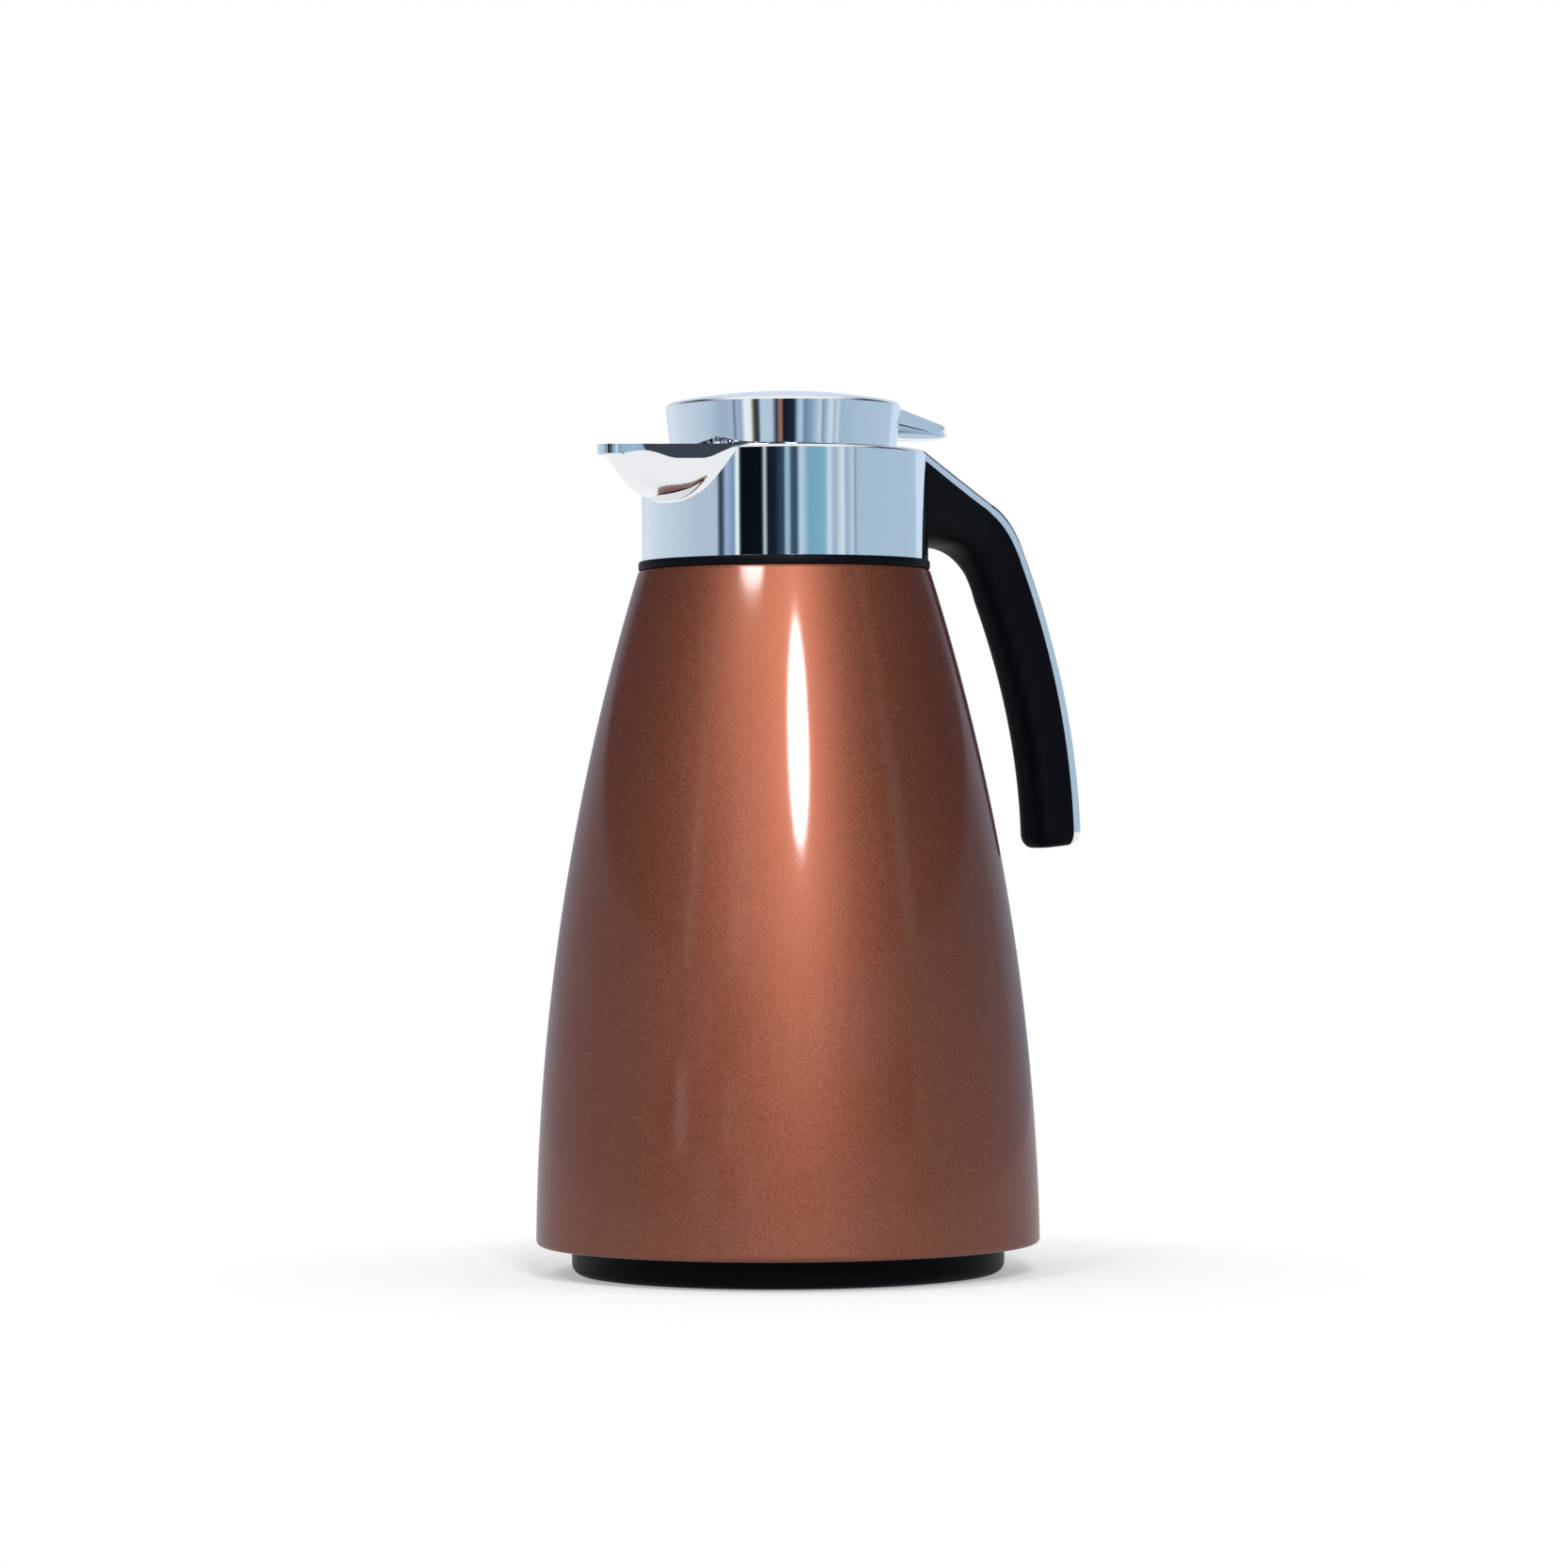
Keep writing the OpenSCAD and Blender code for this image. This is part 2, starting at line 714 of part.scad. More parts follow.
module handle_grip() {
    color(black) difference() {
        union() {
            handle_body(false);
            handle_apron();
        }
        handle_screw_places(collar_in) cylinder(r = handle_screw_r, h = handle_screw_len + 0.5);
    }
}

module handle_trim() {
    color(chrome) handle_body(true);
}

module handle_screws() {
    head_h = 1.8;
    seat_r = collar_in - seat_gap - 0.05;
    color(steel) handle_screw_places(seat_r - head_h) difference() {
        union() {
            cylinder(r = handle_screw_head_r, h = head_h);
            cylinder(r = handle_screw_r - eps, h = head_h + handle_screw_len);
        }
        for (turn = [0, 90])
            rotate([0, 0, turn]) cube([3.2, 0.6, 1.6], center = true);
    }
}

// ---------------------------------------------------------------- lid

module stopper_seal() {
    color(silicone) lathe([
        [seal_in, seal_z],
        [seal_r - 0.4, seal_z],
        [seal_r, seal_z + seal_h / 2],
        [seal_r - 0.4, seal_z + seal_h],
        [seal_in, seal_z + seal_h]
    ]);
}

module stopper_body() {
    stop_z = basin_z + run_gap;
    groove = run_gap;
    color(black) difference() {
        union() {
            lathe([
                [0, stopper_z],
                [spigot_r - 1, stopper_z],
                [spigot_r, stopper_z + 1],
                [spigot_r, spigot_top],
                [stopper_r, spigot_top + 0.8],
                [stopper_r, seal_z - groove],
                [seal_in - groove, seal_z - groove],
                [seal_in - groove, seal_z + seal_h + groove],
                [stopper_r, seal_z + seal_h + groove],
                [stopper_r, stop_z],
                [stop_r, stop_z],
                [stop_r, stop_z + stop_t],
                [stopper_r, stop_z + stop_t],
                [stopper_r, stopper_deck_z],
                [stopper_deck_r, stopper_deck_z],
                [stopper_deck_r, stopper_deck_top],
                [0, stopper_deck_top]
            ]);
            for (side = [-1, 1])
                translate([0, side * (ear_y + ear_t / 2), 0]) pivot_ear();
        }
        translate([0, 0, stopper_z - 1]) cylinder(r = channel_r, h = outlet_top - stopper_z + 1);
        translate([-stop_r - 1, -outlet_w / 2, outlet_z])
            cube([stop_r + 1, outlet_w, outlet_top - outlet_z]);
        translate([0, 0, outlet_top - 1]) cylinder(r = bush_r + seat_gap, h = stopper_deck_t + 3);
        for (a = screw_angles)
            rotate([0, 0, a]) translate([lid_screw_circle, 0, 0]) {
                translate([0, 0, stopper_deck_z - 1])
                    cylinder(r = screw_r + seat_gap, h = stopper_deck_t + 2);
                translate([0, 0, stop_z - groove])
                    cylinder(r = screw_head_r + run_gap, h = stopper_deck_z - stop_z + groove);
            }
    }
}

// One of the two ears that hold the lever's pin
module pivot_ear() {
    translate([-pivot_x, 0, 0]) rotate([90, 0, 0]) difference() {
        union() {
            translate([0, pivot_z, 0]) cylinder(r = hub_r, h = ear_t, center = true);
            translate([-hub_r, stopper_deck_top - 1, -ear_t / 2])
                cube([2 * hub_r, pivot_z - stopper_deck_top + 1, ear_t]);
        }
        translate([0, pivot_z, 0]) cylinder(r = pin_r + 0.02, h = ear_t + 2, center = true);
    }
}

module lid_cap() {
    top_c = [lid_r - lid_round, lid_edge_z - lid_round];
    roof = [for (i = [0 : 10]) let (r = dome_r * i / 10) [r, dome_z(r)]];
    color(chrome) difference() {
        union() {
            lathe(concat(
                [[lid_foot_r - lid_t, lid_foot_z], [lid_foot_r, lid_foot_z]],
                arc(top_c, lid_round, 0, 90),
                reverse(roof),
                [[0, dome_z(0) - lid_t]],
                [for (i = [1 : 9]) let (r = dome_r * i / 10) [r, dome_z(r) - lid_t]],
                [[lid_r - lid_t - 0.4, lid_edge_z - lid_t], [lid_r - lid_t, lid_edge_z - lid_t - 0.4]]
            ));
            for (a = screw_angles)
                rotate([0, 0, a]) translate([lid_screw_circle, 0, stopper_deck_top])
                    cylinder(r = boss_r, h = lid_edge_z - stopper_deck_top);
        }
        translate([notch_x, -lever_side, slot_z]) cube([lid_r, 2 * lever_side, lid_h + lid_dome]);
        for (a = screw_angles)
            rotate([0, 0, a]) translate([lid_screw_circle, 0, stopper_deck_top - 1])
                cylinder(r = screw_r, h = lid_screw_bite + 3);
    }
}

module lid_screws() {
    color(steel) for (a = screw_angles)
        rotate([0, 0, a]) translate([lid_screw_circle, 0, stopper_deck_z]) difference() {
            union() {
                translate([0, 0, -1.4]) cylinder(r = screw_head_r, h = 1.4);
                cylinder(r = screw_r - eps, h = stopper_deck_t + lid_screw_bite);
            }
            for (turn = [0, 90])
                translate([0, 0, -1.4]) rotate([0, 0, turn]) cube([2.8, 0.5, 1.4], center = true);
        }
}

module lever_pin() {
    color(steel) translate([-pivot_x, 0, pivot_z]) rotate([90, 0, 0])
        cylinder(r = pin_r, h = 2 * (ear_y + ear_t), center = true);
}

module stem_bush() {
    color(silicone) difference() {
        union() {
            translate([0, 0, outlet_top - bush_drop + 1])
                cylinder(r = bush_r, h = stopper_deck_top - outlet_top + bush_drop - 1 + eps);
            translate([0, 0, stopper_deck_top]) cylinder(r = bush_flange_r, h = bush_flange_t);
        }
        translate([0, 0, outlet_top - bush_drop]) cylinder(r = stem_r + bearing_gap, h = 10);
    }
}

// ---------------------------------------------------------------- lever

module lever_plan() {
    tip_r = lever_tip_w / 2;
    union() {
        translate([lever_reach - tip_r, 0]) circle(r = tip_r);
        polygon([
            [lever_front, -lever_w / 2],
            [lid_r, -lever_w / 2],
            [lever_reach - tip_r, -tip_r],
            [lever_reach - tip_r, tip_r],
            [lid_r, lever_w / 2],
            [lever_front, lever_w / 2]
        ]);
    }
}

module lever_side_profile() {
    tip_top = lid_edge_z - lever_fall;
    polygon(concat(
        [for (i = [0 : 4]) let (x = lever_front + (dome_r - lever_front) * i / 4) [x, dome_z(x)]],
        [
            [lever_reach - 1.6, tip_top],
            [lever_reach - 0.4, tip_top - 0.6],
            [lever_reach, tip_top - 1.4],
            [lever_reach - 0.6, tip_top - lever_wall_tip],
            [lid_r, lid_edge_z - lever_wall_root],
            [lever_front, lid_edge_z - lever_wall_root + 1]
        ]
    ));
}

module lever_belly_profile() {
    low = lid_edge_z - lever_belly;
    tip_low = lid_edge_z - lever_fall - lever_wall_tip;
    polygon([
        [lever_front + lever_arm_lap, arm_z + 1],
        [lever_front + lever_arm_lap, low + 1.6],
        [lid_r - 1, low + 0.2],
        [lid_r + 6, low],
        [lever_reach - 3 * lever_nose, low],
        [lever_reach - lever_nose, low + 0.5],
        [lever_reach - 1.4, tip_low + 0.2],
        [lever_reach - lever_nose, tip_low + 1.6],
        [lid_r, arm_z + 2]
    ]);
}

module lever_slab(width) {
    rotate([90, 0, 0]) linear_extrude(height = width, center = true) children();
}

module thumb_lever() {
    belly_r = lever_w / 2 - 1.4;
    color(chrome) difference() {
        union() {
            intersection() {
                lever_slab(lever_w + 2) lever_side_profile();
                translate([0, 0, slot_z]) linear_extrude(height = lid_h + lid_dome) lever_plan();
            }
            intersection() {
                lever_slab(2 * belly_r) lever_belly_profile();
                translate([lever_front, 0, lid_edge_z - lever_belly + belly_r]) rotate([0, 90, 0])
                    cylinder(r = belly_r, h = lever_reach - lever_front);
            }
            translate([-pivot_x, -arm_w / 2, arm_z])
                cube([pivot_x + lever_front + lever_arm_lap + 2, arm_w, arm_top - arm_z]);
            translate([-pivot_x, 0, pivot_z]) rotate([90, 0, 0])
                cylinder(r = hub_r, h = arm_w, center = true);
        }
        translate([-pivot_x, 0, pivot_z]) rotate([90, 0, 0])
            cylinder(r = pin_r + bearing_gap, h = arm_w + 2, center = true);
    }
}

// ---------------------------------------------------------------- valve

module valve_stem() {
    color(steel) lathe([
        [0, stem_foot],
        [stem_r, stem_foot],
        [stem_r, stem_top - 1.2],
        [stem_r - 1.2, stem_top],
        [0, stem_top]
    ]);
}

module valve_disc() {
    disc_z = washer_z - disc_t;
    color(black) lathe([
        [stem_r + 0.02, disc_z - 1.2],
        [stem_r + 2.5, disc_z - 1.2],
        [valve_r - 1, disc_z],
        [valve_r, disc_z + 0.6],
        [valve_r, washer_z],
        [stem_r + 0.02, washer_z]
    ]);
}

module valve_washer() {
    color(silicone) lathe([
        [stem_r + 0.02, washer_z],
        [valve_r - 0.4, washer_z],
        [valve_r - 0.4, washer_z + washer_t - 0.4],
        [valve_r - 0.8, washer_z + washer_t],
        [stem_r + 0.02, washer_z + washer_t]
    ]);
}

module spring_cap() {
    color(steel) lathe([
        [stem_r + 0.02, cap_z],
        [cap_r, cap_z],
        [cap_r, cap_z + cap_t],
        [stem_r + 0.02, cap_z + cap_t]
    ]);
}

module valve_spring() {
    low = spring_z + wire_r + 0.05;
    high = cap_z - wire_r - 0.05;
    steps = 18 * spring_turns;
    color(steel) loft([
        for (i = [0 : steps])
            let (a = i * 20, z = low + (high - low) * i / steps)
                [
                    for (b = [0 : 60 : 300])
                        let (r = spring_r + wire_r * cos(b))
                            [r * cos(a), r * sin(a), z + wire_r * sin(b)]
                ]
    ]);
}

body_shell();
retaining_ring();
base_foot();
foot_pad();
base_screws();
flask_cushion();
flask_outer();
flask_inner();
neck_gasket();
neck_ring();
collar();
neck_sleeve();
handle_grip();
handle_trim();
handle_screws();
stopper_seal();
stopper_body();
lid_cap();
lid_screws();
lever_pin();
stem_bush();
thumb_lever();
valve_stem();
valve_disc();
valve_washer();
spring_cap();
valve_spring();
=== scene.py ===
"""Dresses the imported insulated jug: smooth pieces, finishes, a pale stage and a camera."""
import json
from math import asin, cos, degrees, hypot, pi, radians, sin, sqrt

import bmesh
import bpy
from mathutils import Matrix, Vector


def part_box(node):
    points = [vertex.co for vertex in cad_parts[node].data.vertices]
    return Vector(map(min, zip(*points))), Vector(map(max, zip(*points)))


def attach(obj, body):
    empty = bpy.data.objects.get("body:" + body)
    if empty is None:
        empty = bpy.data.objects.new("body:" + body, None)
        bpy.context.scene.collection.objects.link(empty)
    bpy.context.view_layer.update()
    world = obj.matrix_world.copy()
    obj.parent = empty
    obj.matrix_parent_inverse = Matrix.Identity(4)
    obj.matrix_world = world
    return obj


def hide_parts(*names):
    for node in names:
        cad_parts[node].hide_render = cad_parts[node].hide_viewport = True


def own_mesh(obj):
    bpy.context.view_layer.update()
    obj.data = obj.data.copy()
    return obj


bl_info = {
    "name": "Insulated Pouring Jug",
    "version": (1, 0, 0),
    "blender": (4, 5, 0),
    "location": "3D Viewport > Sidebar > Jug",
    "description": "Builds the dressed pieces, the finishes and the stage of an insulated jug",
    "category": "Add Mesh",
}

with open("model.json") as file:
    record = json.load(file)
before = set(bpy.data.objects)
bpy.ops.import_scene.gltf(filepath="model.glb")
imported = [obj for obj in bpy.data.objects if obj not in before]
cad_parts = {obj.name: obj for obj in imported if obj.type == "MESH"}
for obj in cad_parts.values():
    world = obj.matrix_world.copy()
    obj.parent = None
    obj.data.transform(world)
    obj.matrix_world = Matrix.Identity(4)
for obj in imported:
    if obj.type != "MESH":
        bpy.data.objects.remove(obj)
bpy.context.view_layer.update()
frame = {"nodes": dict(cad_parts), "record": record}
MM = 0.001
TURN_STEPS = 288  # faces round a turned piece
ROUND_STEPS = 6  # faces across a small rounding
RIM_START = 27  # degrees by which a plated rim leans in at its crease
LAP = 0.05 * MM  # seam between pieces that touch
MERGE = 2e-6  # metres within which two points are one
SLIVER = 1e-7  # metres under which an edge has no length

BODY_OF = {
    node: body
    for body, members in frame["record"]["behaviour"]["bodies"].items()
    for node in members
}
SLOT_OF = {part["node"]: part["material_slot"] for part in frame["record"]["subparts"]}


# ---- sizes read from the frame
def low(node):
    """Lowest corner of a CAD node."""
    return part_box(node)[0]


def high(node):
    """Highest corner of a CAD node."""
    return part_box(node)[1]


SHELL_FOOT = low("body_shell").z
SHELL_TOP = high("body_shell").z
COLLAR_FOOT = low("collar").z
COLLAR_TOP = high("collar").z
COLLAR_RADIUS = high("collar").y
RING_RADIUS = high("neck_ring").x
SPOUT_REACH = -low("collar").x
LID_FOOT = low("lid_cap").z
LID_TOP = high("lid_cap").z
LID_RADIUS = high("lid_cap").y
HANDLE_REACH = high("handle_trim").x
HANDLE_FOOT = low("handle_trim").z


# ---- sizes and colours to change
def number(label, about, default, least=0.0, most=100.0, **kind):
    """A number property."""
    return bpy.props.FloatProperty(
        name=label, description=about, default=default, min=least, max=most, **kind
    )


def length(label, about, default):
    """A length property, its default given in millimetres."""
    return number(label, about, default * MM, unit="LENGTH", precision=5)


def angle(label, about, default):
    """An angle property, its default given in degrees."""
    return number(label, about, radians(default), -pi, pi, unit="ROTATION")


def colour(label, about, default):
    """A colour property."""
    return bpy.props.FloatVectorProperty(
        name=label, description=about, default=default, size=3, min=0.0, max=1.0, subtype="COLOR"
    )


class JugShellSizes(bpy.types.PropertyGroup):
    """Sizes of the painted shell and the neck ring."""

    radius: length("Bell radius", "Radius that the bell's arc has at the table", 73)
    wall: length("Wall", "Thickness of the sheet metal", 0.6)
    roll: length("Hem roll", "Radius of the rolled lower edge", 1.5)
    hem: length("Hem", "Width of the flat hem under the shell", 2.8)
    top_round: length("Top rounding", "Radius of the turned-in top edge", 0.8)
    top_hem: length("Top hem", "Width of the flat top edge", 3.4)
    ring_round: length("Ring rounding", "Radius of the neck ring's edges", 0.45)


class JugCollarSizes(bpy.types.PropertyGroup):
    """Sizes of the plated collar and its spout."""

    wall: length("Wall", "Thickness of the collar", 1.8)
    top_round: length("Top rounding", "Radius of the top edge", 1.9)
    deck_radius: length("Deck radius", "Radius of the opening for the lid", 34.8)
    spout_width: length("Spout width", "Width of the spout where it leaves the collar", 46.6)
    tip_width: length("Tip width", "Width of the spout before its round nose", 8)
    nose: length("Nose", "Length of the round nose", 3.6)
    depth: length("Depth", "Depth of the spout at the collar", 15.1)
    lip: length("Lip", "Height of the lip at the tip", 2.7)
    edge: length("Rim edge", "Height of the rim's plain edge near the collar", 4.0)
    fade: length("Lip fade", "Length over which the lip dies out", 10)
    swell: number("Fullness", "Fullness of the spout's section", 3.0, 2, 12)
    spout_wall: length("Spout wall", "Thickness of the spout", 1.7)


class JugLidSizes(bpy.types.PropertyGroup):
    """Sizes of the lid and the thumb lever."""

    lean: length("Lean", "How far the lid narrows towards its foot", 1.5)
    dome: length("Dome", "Rise of the lid's top", 3.3)
    edge_round: length("Edge rounding", "Radius of the lid's top edge", 2.3)
    wall: length("Wall", "Thickness of the lid", 1.5)
    notch_front: length("Notch", "Distance of the lever's notch from the axis", 22)
    notch_width: length("Notch width", "Width of the lever's notch", 21.2)
    notch_foot: length("Notch foot", "Height of the notch above the collar's top", 0.1)


class JugHandleSizes(bpy.types.PropertyGroup):
    """Sizes of the grip and its plated strip."""

    width: length("Width", "Width of the grip", 16.4)
    root_width: length("Root width", "Width of the handle at the collar", 44)
    thickness: length("Thickness", "Depth of the grip's lower end", 14)
    strip: length("Strip", "Thickness of the plated strip", 3.2)
    end_round: length("End rounding", "Rounding of the lower end", 3.0)
    apron: length("Apron", "Thickness of the grip's skirt on the collar", 0.7)
    grip_swell: number("Grip fullness", "Fullness of the grip's section", 2.9, 2, 12)
    strip_swell: number("Strip fullness", "Fullness of the strip's section", 9, 2, 20)


class JugFinishes(bpy.types.PropertyGroup):
    """Colours of the finishes."""

    copper: colour("Copper", "Base colour of the shell's paint", (0.116, 0.033, 0.017))
    copper_flake: colour("Flake", "Colour of the paint's brighter flakes", (0.225, 0.076, 0.043))
    plating: colour("Plating", "Colour of the plated pieces", (0.82, 0.84, 0.86))
    moulding: colour("Moulding", "Colour of the black mouldings", (0.0014, 0.0019, 0.0032))
    grip: colour("Grip", "Colour of the grip", (0.0014, 0.0019, 0.0032))
    rubber: colour("Rubber", "Colour of the rubber pieces", (0.018, 0.018, 0.019))
    silicone: colour("Silicone", "Colour of the silicone rings", (0.60, 0.58, 0.53))
    glass: colour("Silvering", "Colour of the silvered flask", (0.72, 0.78, 0.80))
    steel: colour("Steel", "Colour of the screws, the pin and the valve", (0.52, 0.53, 0.55))


class JugStageSettings(bpy.types.PropertyGroup):
    """Camera, lamps and surroundings."""

    distance: length("Distance", "Camera distance from the jug's axis", 1555)
    eye_height: length("Eye height", "Height of the camera", 130.5)
    azimuth: angle("Azimuth", "Direction of the camera, from the jug's left side", -37.5)
    tilt: angle("Tilt", "Upward tilt of the camera", 0.417)
    roll: angle("Roll", "Roll of the camera", -0.332)
    lens: number("Lens", "Focal length in millimetres", 123.1, 10, 400)
    shift: number("Shift", "Sideways shift of the lens", -0.0009, -1, 1)
    key_power: number("Key", "Power of the main soft light in watts", 26.0, 0, 2000)
    fill_power: number("Fill", "Power of the side soft lights in watts", 2.5, 0, 2000)
    accent_power: number("Accent", "Power of the small light in watts", 12.0, 0, 2000)
    sky: number("Sky", "Level of the light from all round", 0.55, 0, 5)


# ---- meshes
def spread(start, end, steps):
    """Evenly spaced values, both ends among them."""
    return [start + (end - start) * i / steps for i in range(steps + 1)]


def arc(centre, radius, start, end, steps=ROUND_STEPS):
    """Points (radius, height) along an arc, with its angles in degrees."""
    return [
        (centre[0] + radius * cos(radians(a)), centre[1] + radius * sin(radians(a)))
        for a in spread(start, end, steps)
    ]


def rim(radius, top, size, end, steps=8):
    """Points of a rounded rim that starts with a crease at the wall's top."""
    centre = (radius - size * cos(radians(RIM_START)), top - size * sin(radians(end)))
    return arc(centre, size, RIM_START, end, steps)


def clamp(share):
    """A share held between 0 and 1."""
    return min(1, max(0, share))


def ease(share):
    """A smooth step from 0 to 1."""
    share = clamp(share)
    return share * share * (3 - 2 * share)


def bezier(a, b, c, t):
    """A point on a quadratic curve."""
    return a * (1 - t) ** 2 + b * (2 * t * (1 - t)) + c * t ** 2


def rounded(points, radius, steps=ROUND_STEPS):
    """A closed outline with every corner rounded, as far as its sides allow."""
    made = []
    count = len(points)
    for i in range(count):
        corner, before, after = (Vector(points[j % count]) for j in (i, i - 1, i + 1))
        to_before, to_after = before - corner, after - corner
        reach = min(radius, to_before.length / 2.1, to_after.length / 2.1)
        a = corner + to_before.normalized() * reach
        b = corner + to_after.normalized() * reach
        made += [tuple(bezier(a, corner, b, t)) for t in spread(0, 1, steps)]
    return made


def turned(points, closed=True, steps=TURN_STEPS):
    """A mesh turned about the axis from (radius, height) points."""
    bm = bmesh.new()
    verts = [bm.verts.new((r, 0, z)) for r, z in points]
    ends = verts[1:] + (verts[:1] if closed else [])
    edges = [bm.edges.new(pair) for pair in zip(verts, ends)]
    bmesh.ops.spin(
        bm, geom=verts + edges, cent=(0, 0, 0), axis=(0, 0, 1), angle=2 * pi,
        steps=steps, use_merge=True,
    )
    tidy(bm)
    return bm


def merge(bm):
    """Merges doubled points and takes out what has no length."""
    bmesh.ops.remove_doubles(bm, verts=bm.verts, dist=MERGE)
    bmesh.ops.dissolve_degenerate(bm, edges=bm.edges, dist=SLIVER)


def tidy(bm):
    """Merges doubled points and turns the faces outwards."""
    merge(bm)
    bmesh.ops.recalc_face_normals(bm, faces=bm.faces)


def open_edges(bm):
    """The edges that have one face."""
    return [edge for edge in bm.edges if edge.is_boundary]


def face_away(bm, height):
    """Turns an open sheet so that its faces look away from a point on the jug's axis."""
    middle = Vector((0, 0, height))
    leaning = sum(
        face.normal.dot(face.calc_center_median() - middle) * face.calc_area()
        for face in bm.faces
    )
    if leaning < 0:
        bmesh.ops.reverse_faces(bm, faces=bm.faces)


def mapped_sheet(across, along, place, dist):
    """A grid moved to place(u, v), with u and v from 0 to 1, and merged within a distance."""
    bm = bmesh.new()
    bmesh.ops.create_grid(bm, x_segments=across, y_segments=along, size=0.5)
    for vert in bm.verts:
        vert.co = place(clamp(vert.co.x + 0.5), clamp(vert.co.y + 0.5))
    bmesh.ops.remove_doubles(bm, verts=bm.verts, dist=dist)
    return bm


def placed(name, data):
    """A new object in the scene, at the origin."""
    made = bpy.data.objects.new(name, data)
    bpy.context.scene.collection.objects.link(made)
    return made


def as_object(bm, name):
    """Puts a mesh into a new object."""
    mesh = bpy.data.meshes.new(name)
    bm.to_mesh(mesh)
    bm.free()
    return placed(name, mesh)


def add_thickness(piece, wall):
    """Gives a sheet its wall, inwards from the faces it has."""
    solid = piece.modifiers.new("Wall", "SOLIDIFY")
    solid.thickness = wall
    solid.offset = -1
    solid.use_even_offset = True


def soften_edges(piece, width, sharp=35, segments=2):
    """Rounds the edges that are sharper than an angle."""
    bevel = piece.modifiers.new("Edges", "BEVEL")
    bevel.limit_method = "ANGLE"
    bevel.angle_limit = radians(sharp)
    bevel.width = width
    bevel.segments = segments
    bevel.profile = 0.5
    bevel.use_clamp_overlap = True


def bake_modifiers(piece):
    """Replaces a piece's mesh by the mesh that its modifiers make."""
    graph = bpy.context.evaluated_depsgraph_get()
    made = bpy.data.meshes.new_from_object(piece.evaluated_get(graph))
    piece.modifiers.clear()
    piece.data = made


def settle(piece, node, sharp=32, eased=False):
    """Seats a finished piece on the frame in place of its node, with the node's finish."""
    eased = eased or "Edges" in piece.modifiers
    bake_modifiers(piece)
    piece.data.shade_smooth()
    piece.data.set_sharp_from_angle(angle=radians(sharp))
    if eased:
        piece.modifiers.new("Flats", "WEIGHTED_NORMAL").keep_sharp = True
        bake_modifiers(piece)
    slot = SLOT_OF[node]
    piece.data.materials.clear()
    piece.data.materials.append(finish(slot))
    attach(piece, BODY_OF[node])
    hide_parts(node)


# ---- shader building
def arithmetic(operation, reflected=False):
    """A method that adds a Math node for an operator."""

    def method(self, other):
        pair = (other, self) if reflected else (self, other)
        return self._math(operation, *pair)

    return method


class Value:
    """A socket that holds a number; arithmetic on it adds Math nodes."""

    def __init__(self, maker, socket):
        self.maker = maker
        self.socket = socket

    def _math(self, operation, *inputs):
        made = self.maker.node("Math", {"operation": operation}, dict(enumerate(inputs)))
        return Value(self.maker, made.outputs[0])

    __add__, __radd__ = arithmetic("ADD"), arithmetic("ADD", True)
    __sub__, __rsub__ = arithmetic("SUBTRACT"), arithmetic("SUBTRACT", True)
    __mul__, __rmul__ = arithmetic("MULTIPLY"), arithmetic("MULTIPLY", True)
    __truediv__, __rtruediv__ = arithmetic("DIVIDE"), arithmetic("DIVIDE", True)

    def toward(self, other):
        """The angle of the point (other, self), in radians."""
        return self._math("ARCTAN2", self, other)

    def clipped(self):
        """The value held between 0 and 1."""
        return self._math("MINIMUM", self._math("MAXIMUM", self, 0), 1)


class NodeMaker:
    """Adds nodes to a tree."""

    def __init__(self, tree):
        self.tree = tree

    def node(self, kind, settings=None, inputs=None):
        """A new shader node: its settings come first, then its sockets' values or links."""
        made = self.tree.nodes.new("ShaderNode" + kind)
        for name, value in (settings or {}).items():
            if name == "stops":
                self._set_stops(made.color_ramp, value)
            else:
                setattr(made, name, value)
        for name, value in (inputs or {}).items():
            self.feed(made.inputs[name], value)
        return made

    @staticmethod
    def _set_stops(ramp, stops):
        while len(ramp.elements) > 1:
            ramp.elements.remove(ramp.elements[-1])
        for i, (place, tint) in enumerate(stops):
            stop = ramp.elements[0] if i == 0 else ramp.elements.new(place)
            stop.position = place
            stop.color = (*tint, 1)

    def feed(self, socket, value):
        """Links a socket, or sets its value."""
        source = value.socket if isinstance(value, Value) else value
        if isinstance(source, bpy.types.NodeSocket):
            self.tree.links.new(source, socket)
        else:
            socket.default_value = source

    def place(self):
        """The point on the piece, in metres."""
        return self.node("TexCoord").outputs["Object"]

    def rays(self, *kinds):
        """1 for a ray of one of these kinds, otherwise 0."""
        path = self.node("LightPath")
        first, *others = (Value(self, path.outputs[f"Is {kind} Ray"]) for kind in kinds)
        return sum(others, first).clipped()

    def along(self, where, direction):
        """How far a point lies along a direction."""
        made = self.node(
            "VectorMath", {"operation": "DOT_PRODUCT"}, {0: where, 1: direction}
        )
        return Value(self, made.outputs["Value"])

    def mix(self, share, first, second):
        """A colour between two colours."""
        made = self.node("Mix", {"data_type": "RGBA"}, {0: share, 6: first, 7: second})
        return made.outputs[2]

    def bump(self, height, strength, distance):
        """A normal from a height."""
        made = self.node(
            "Bump", {}, {"Height": height, "Strength": strength, "Distance": distance}
        )
        return made.outputs["Normal"]


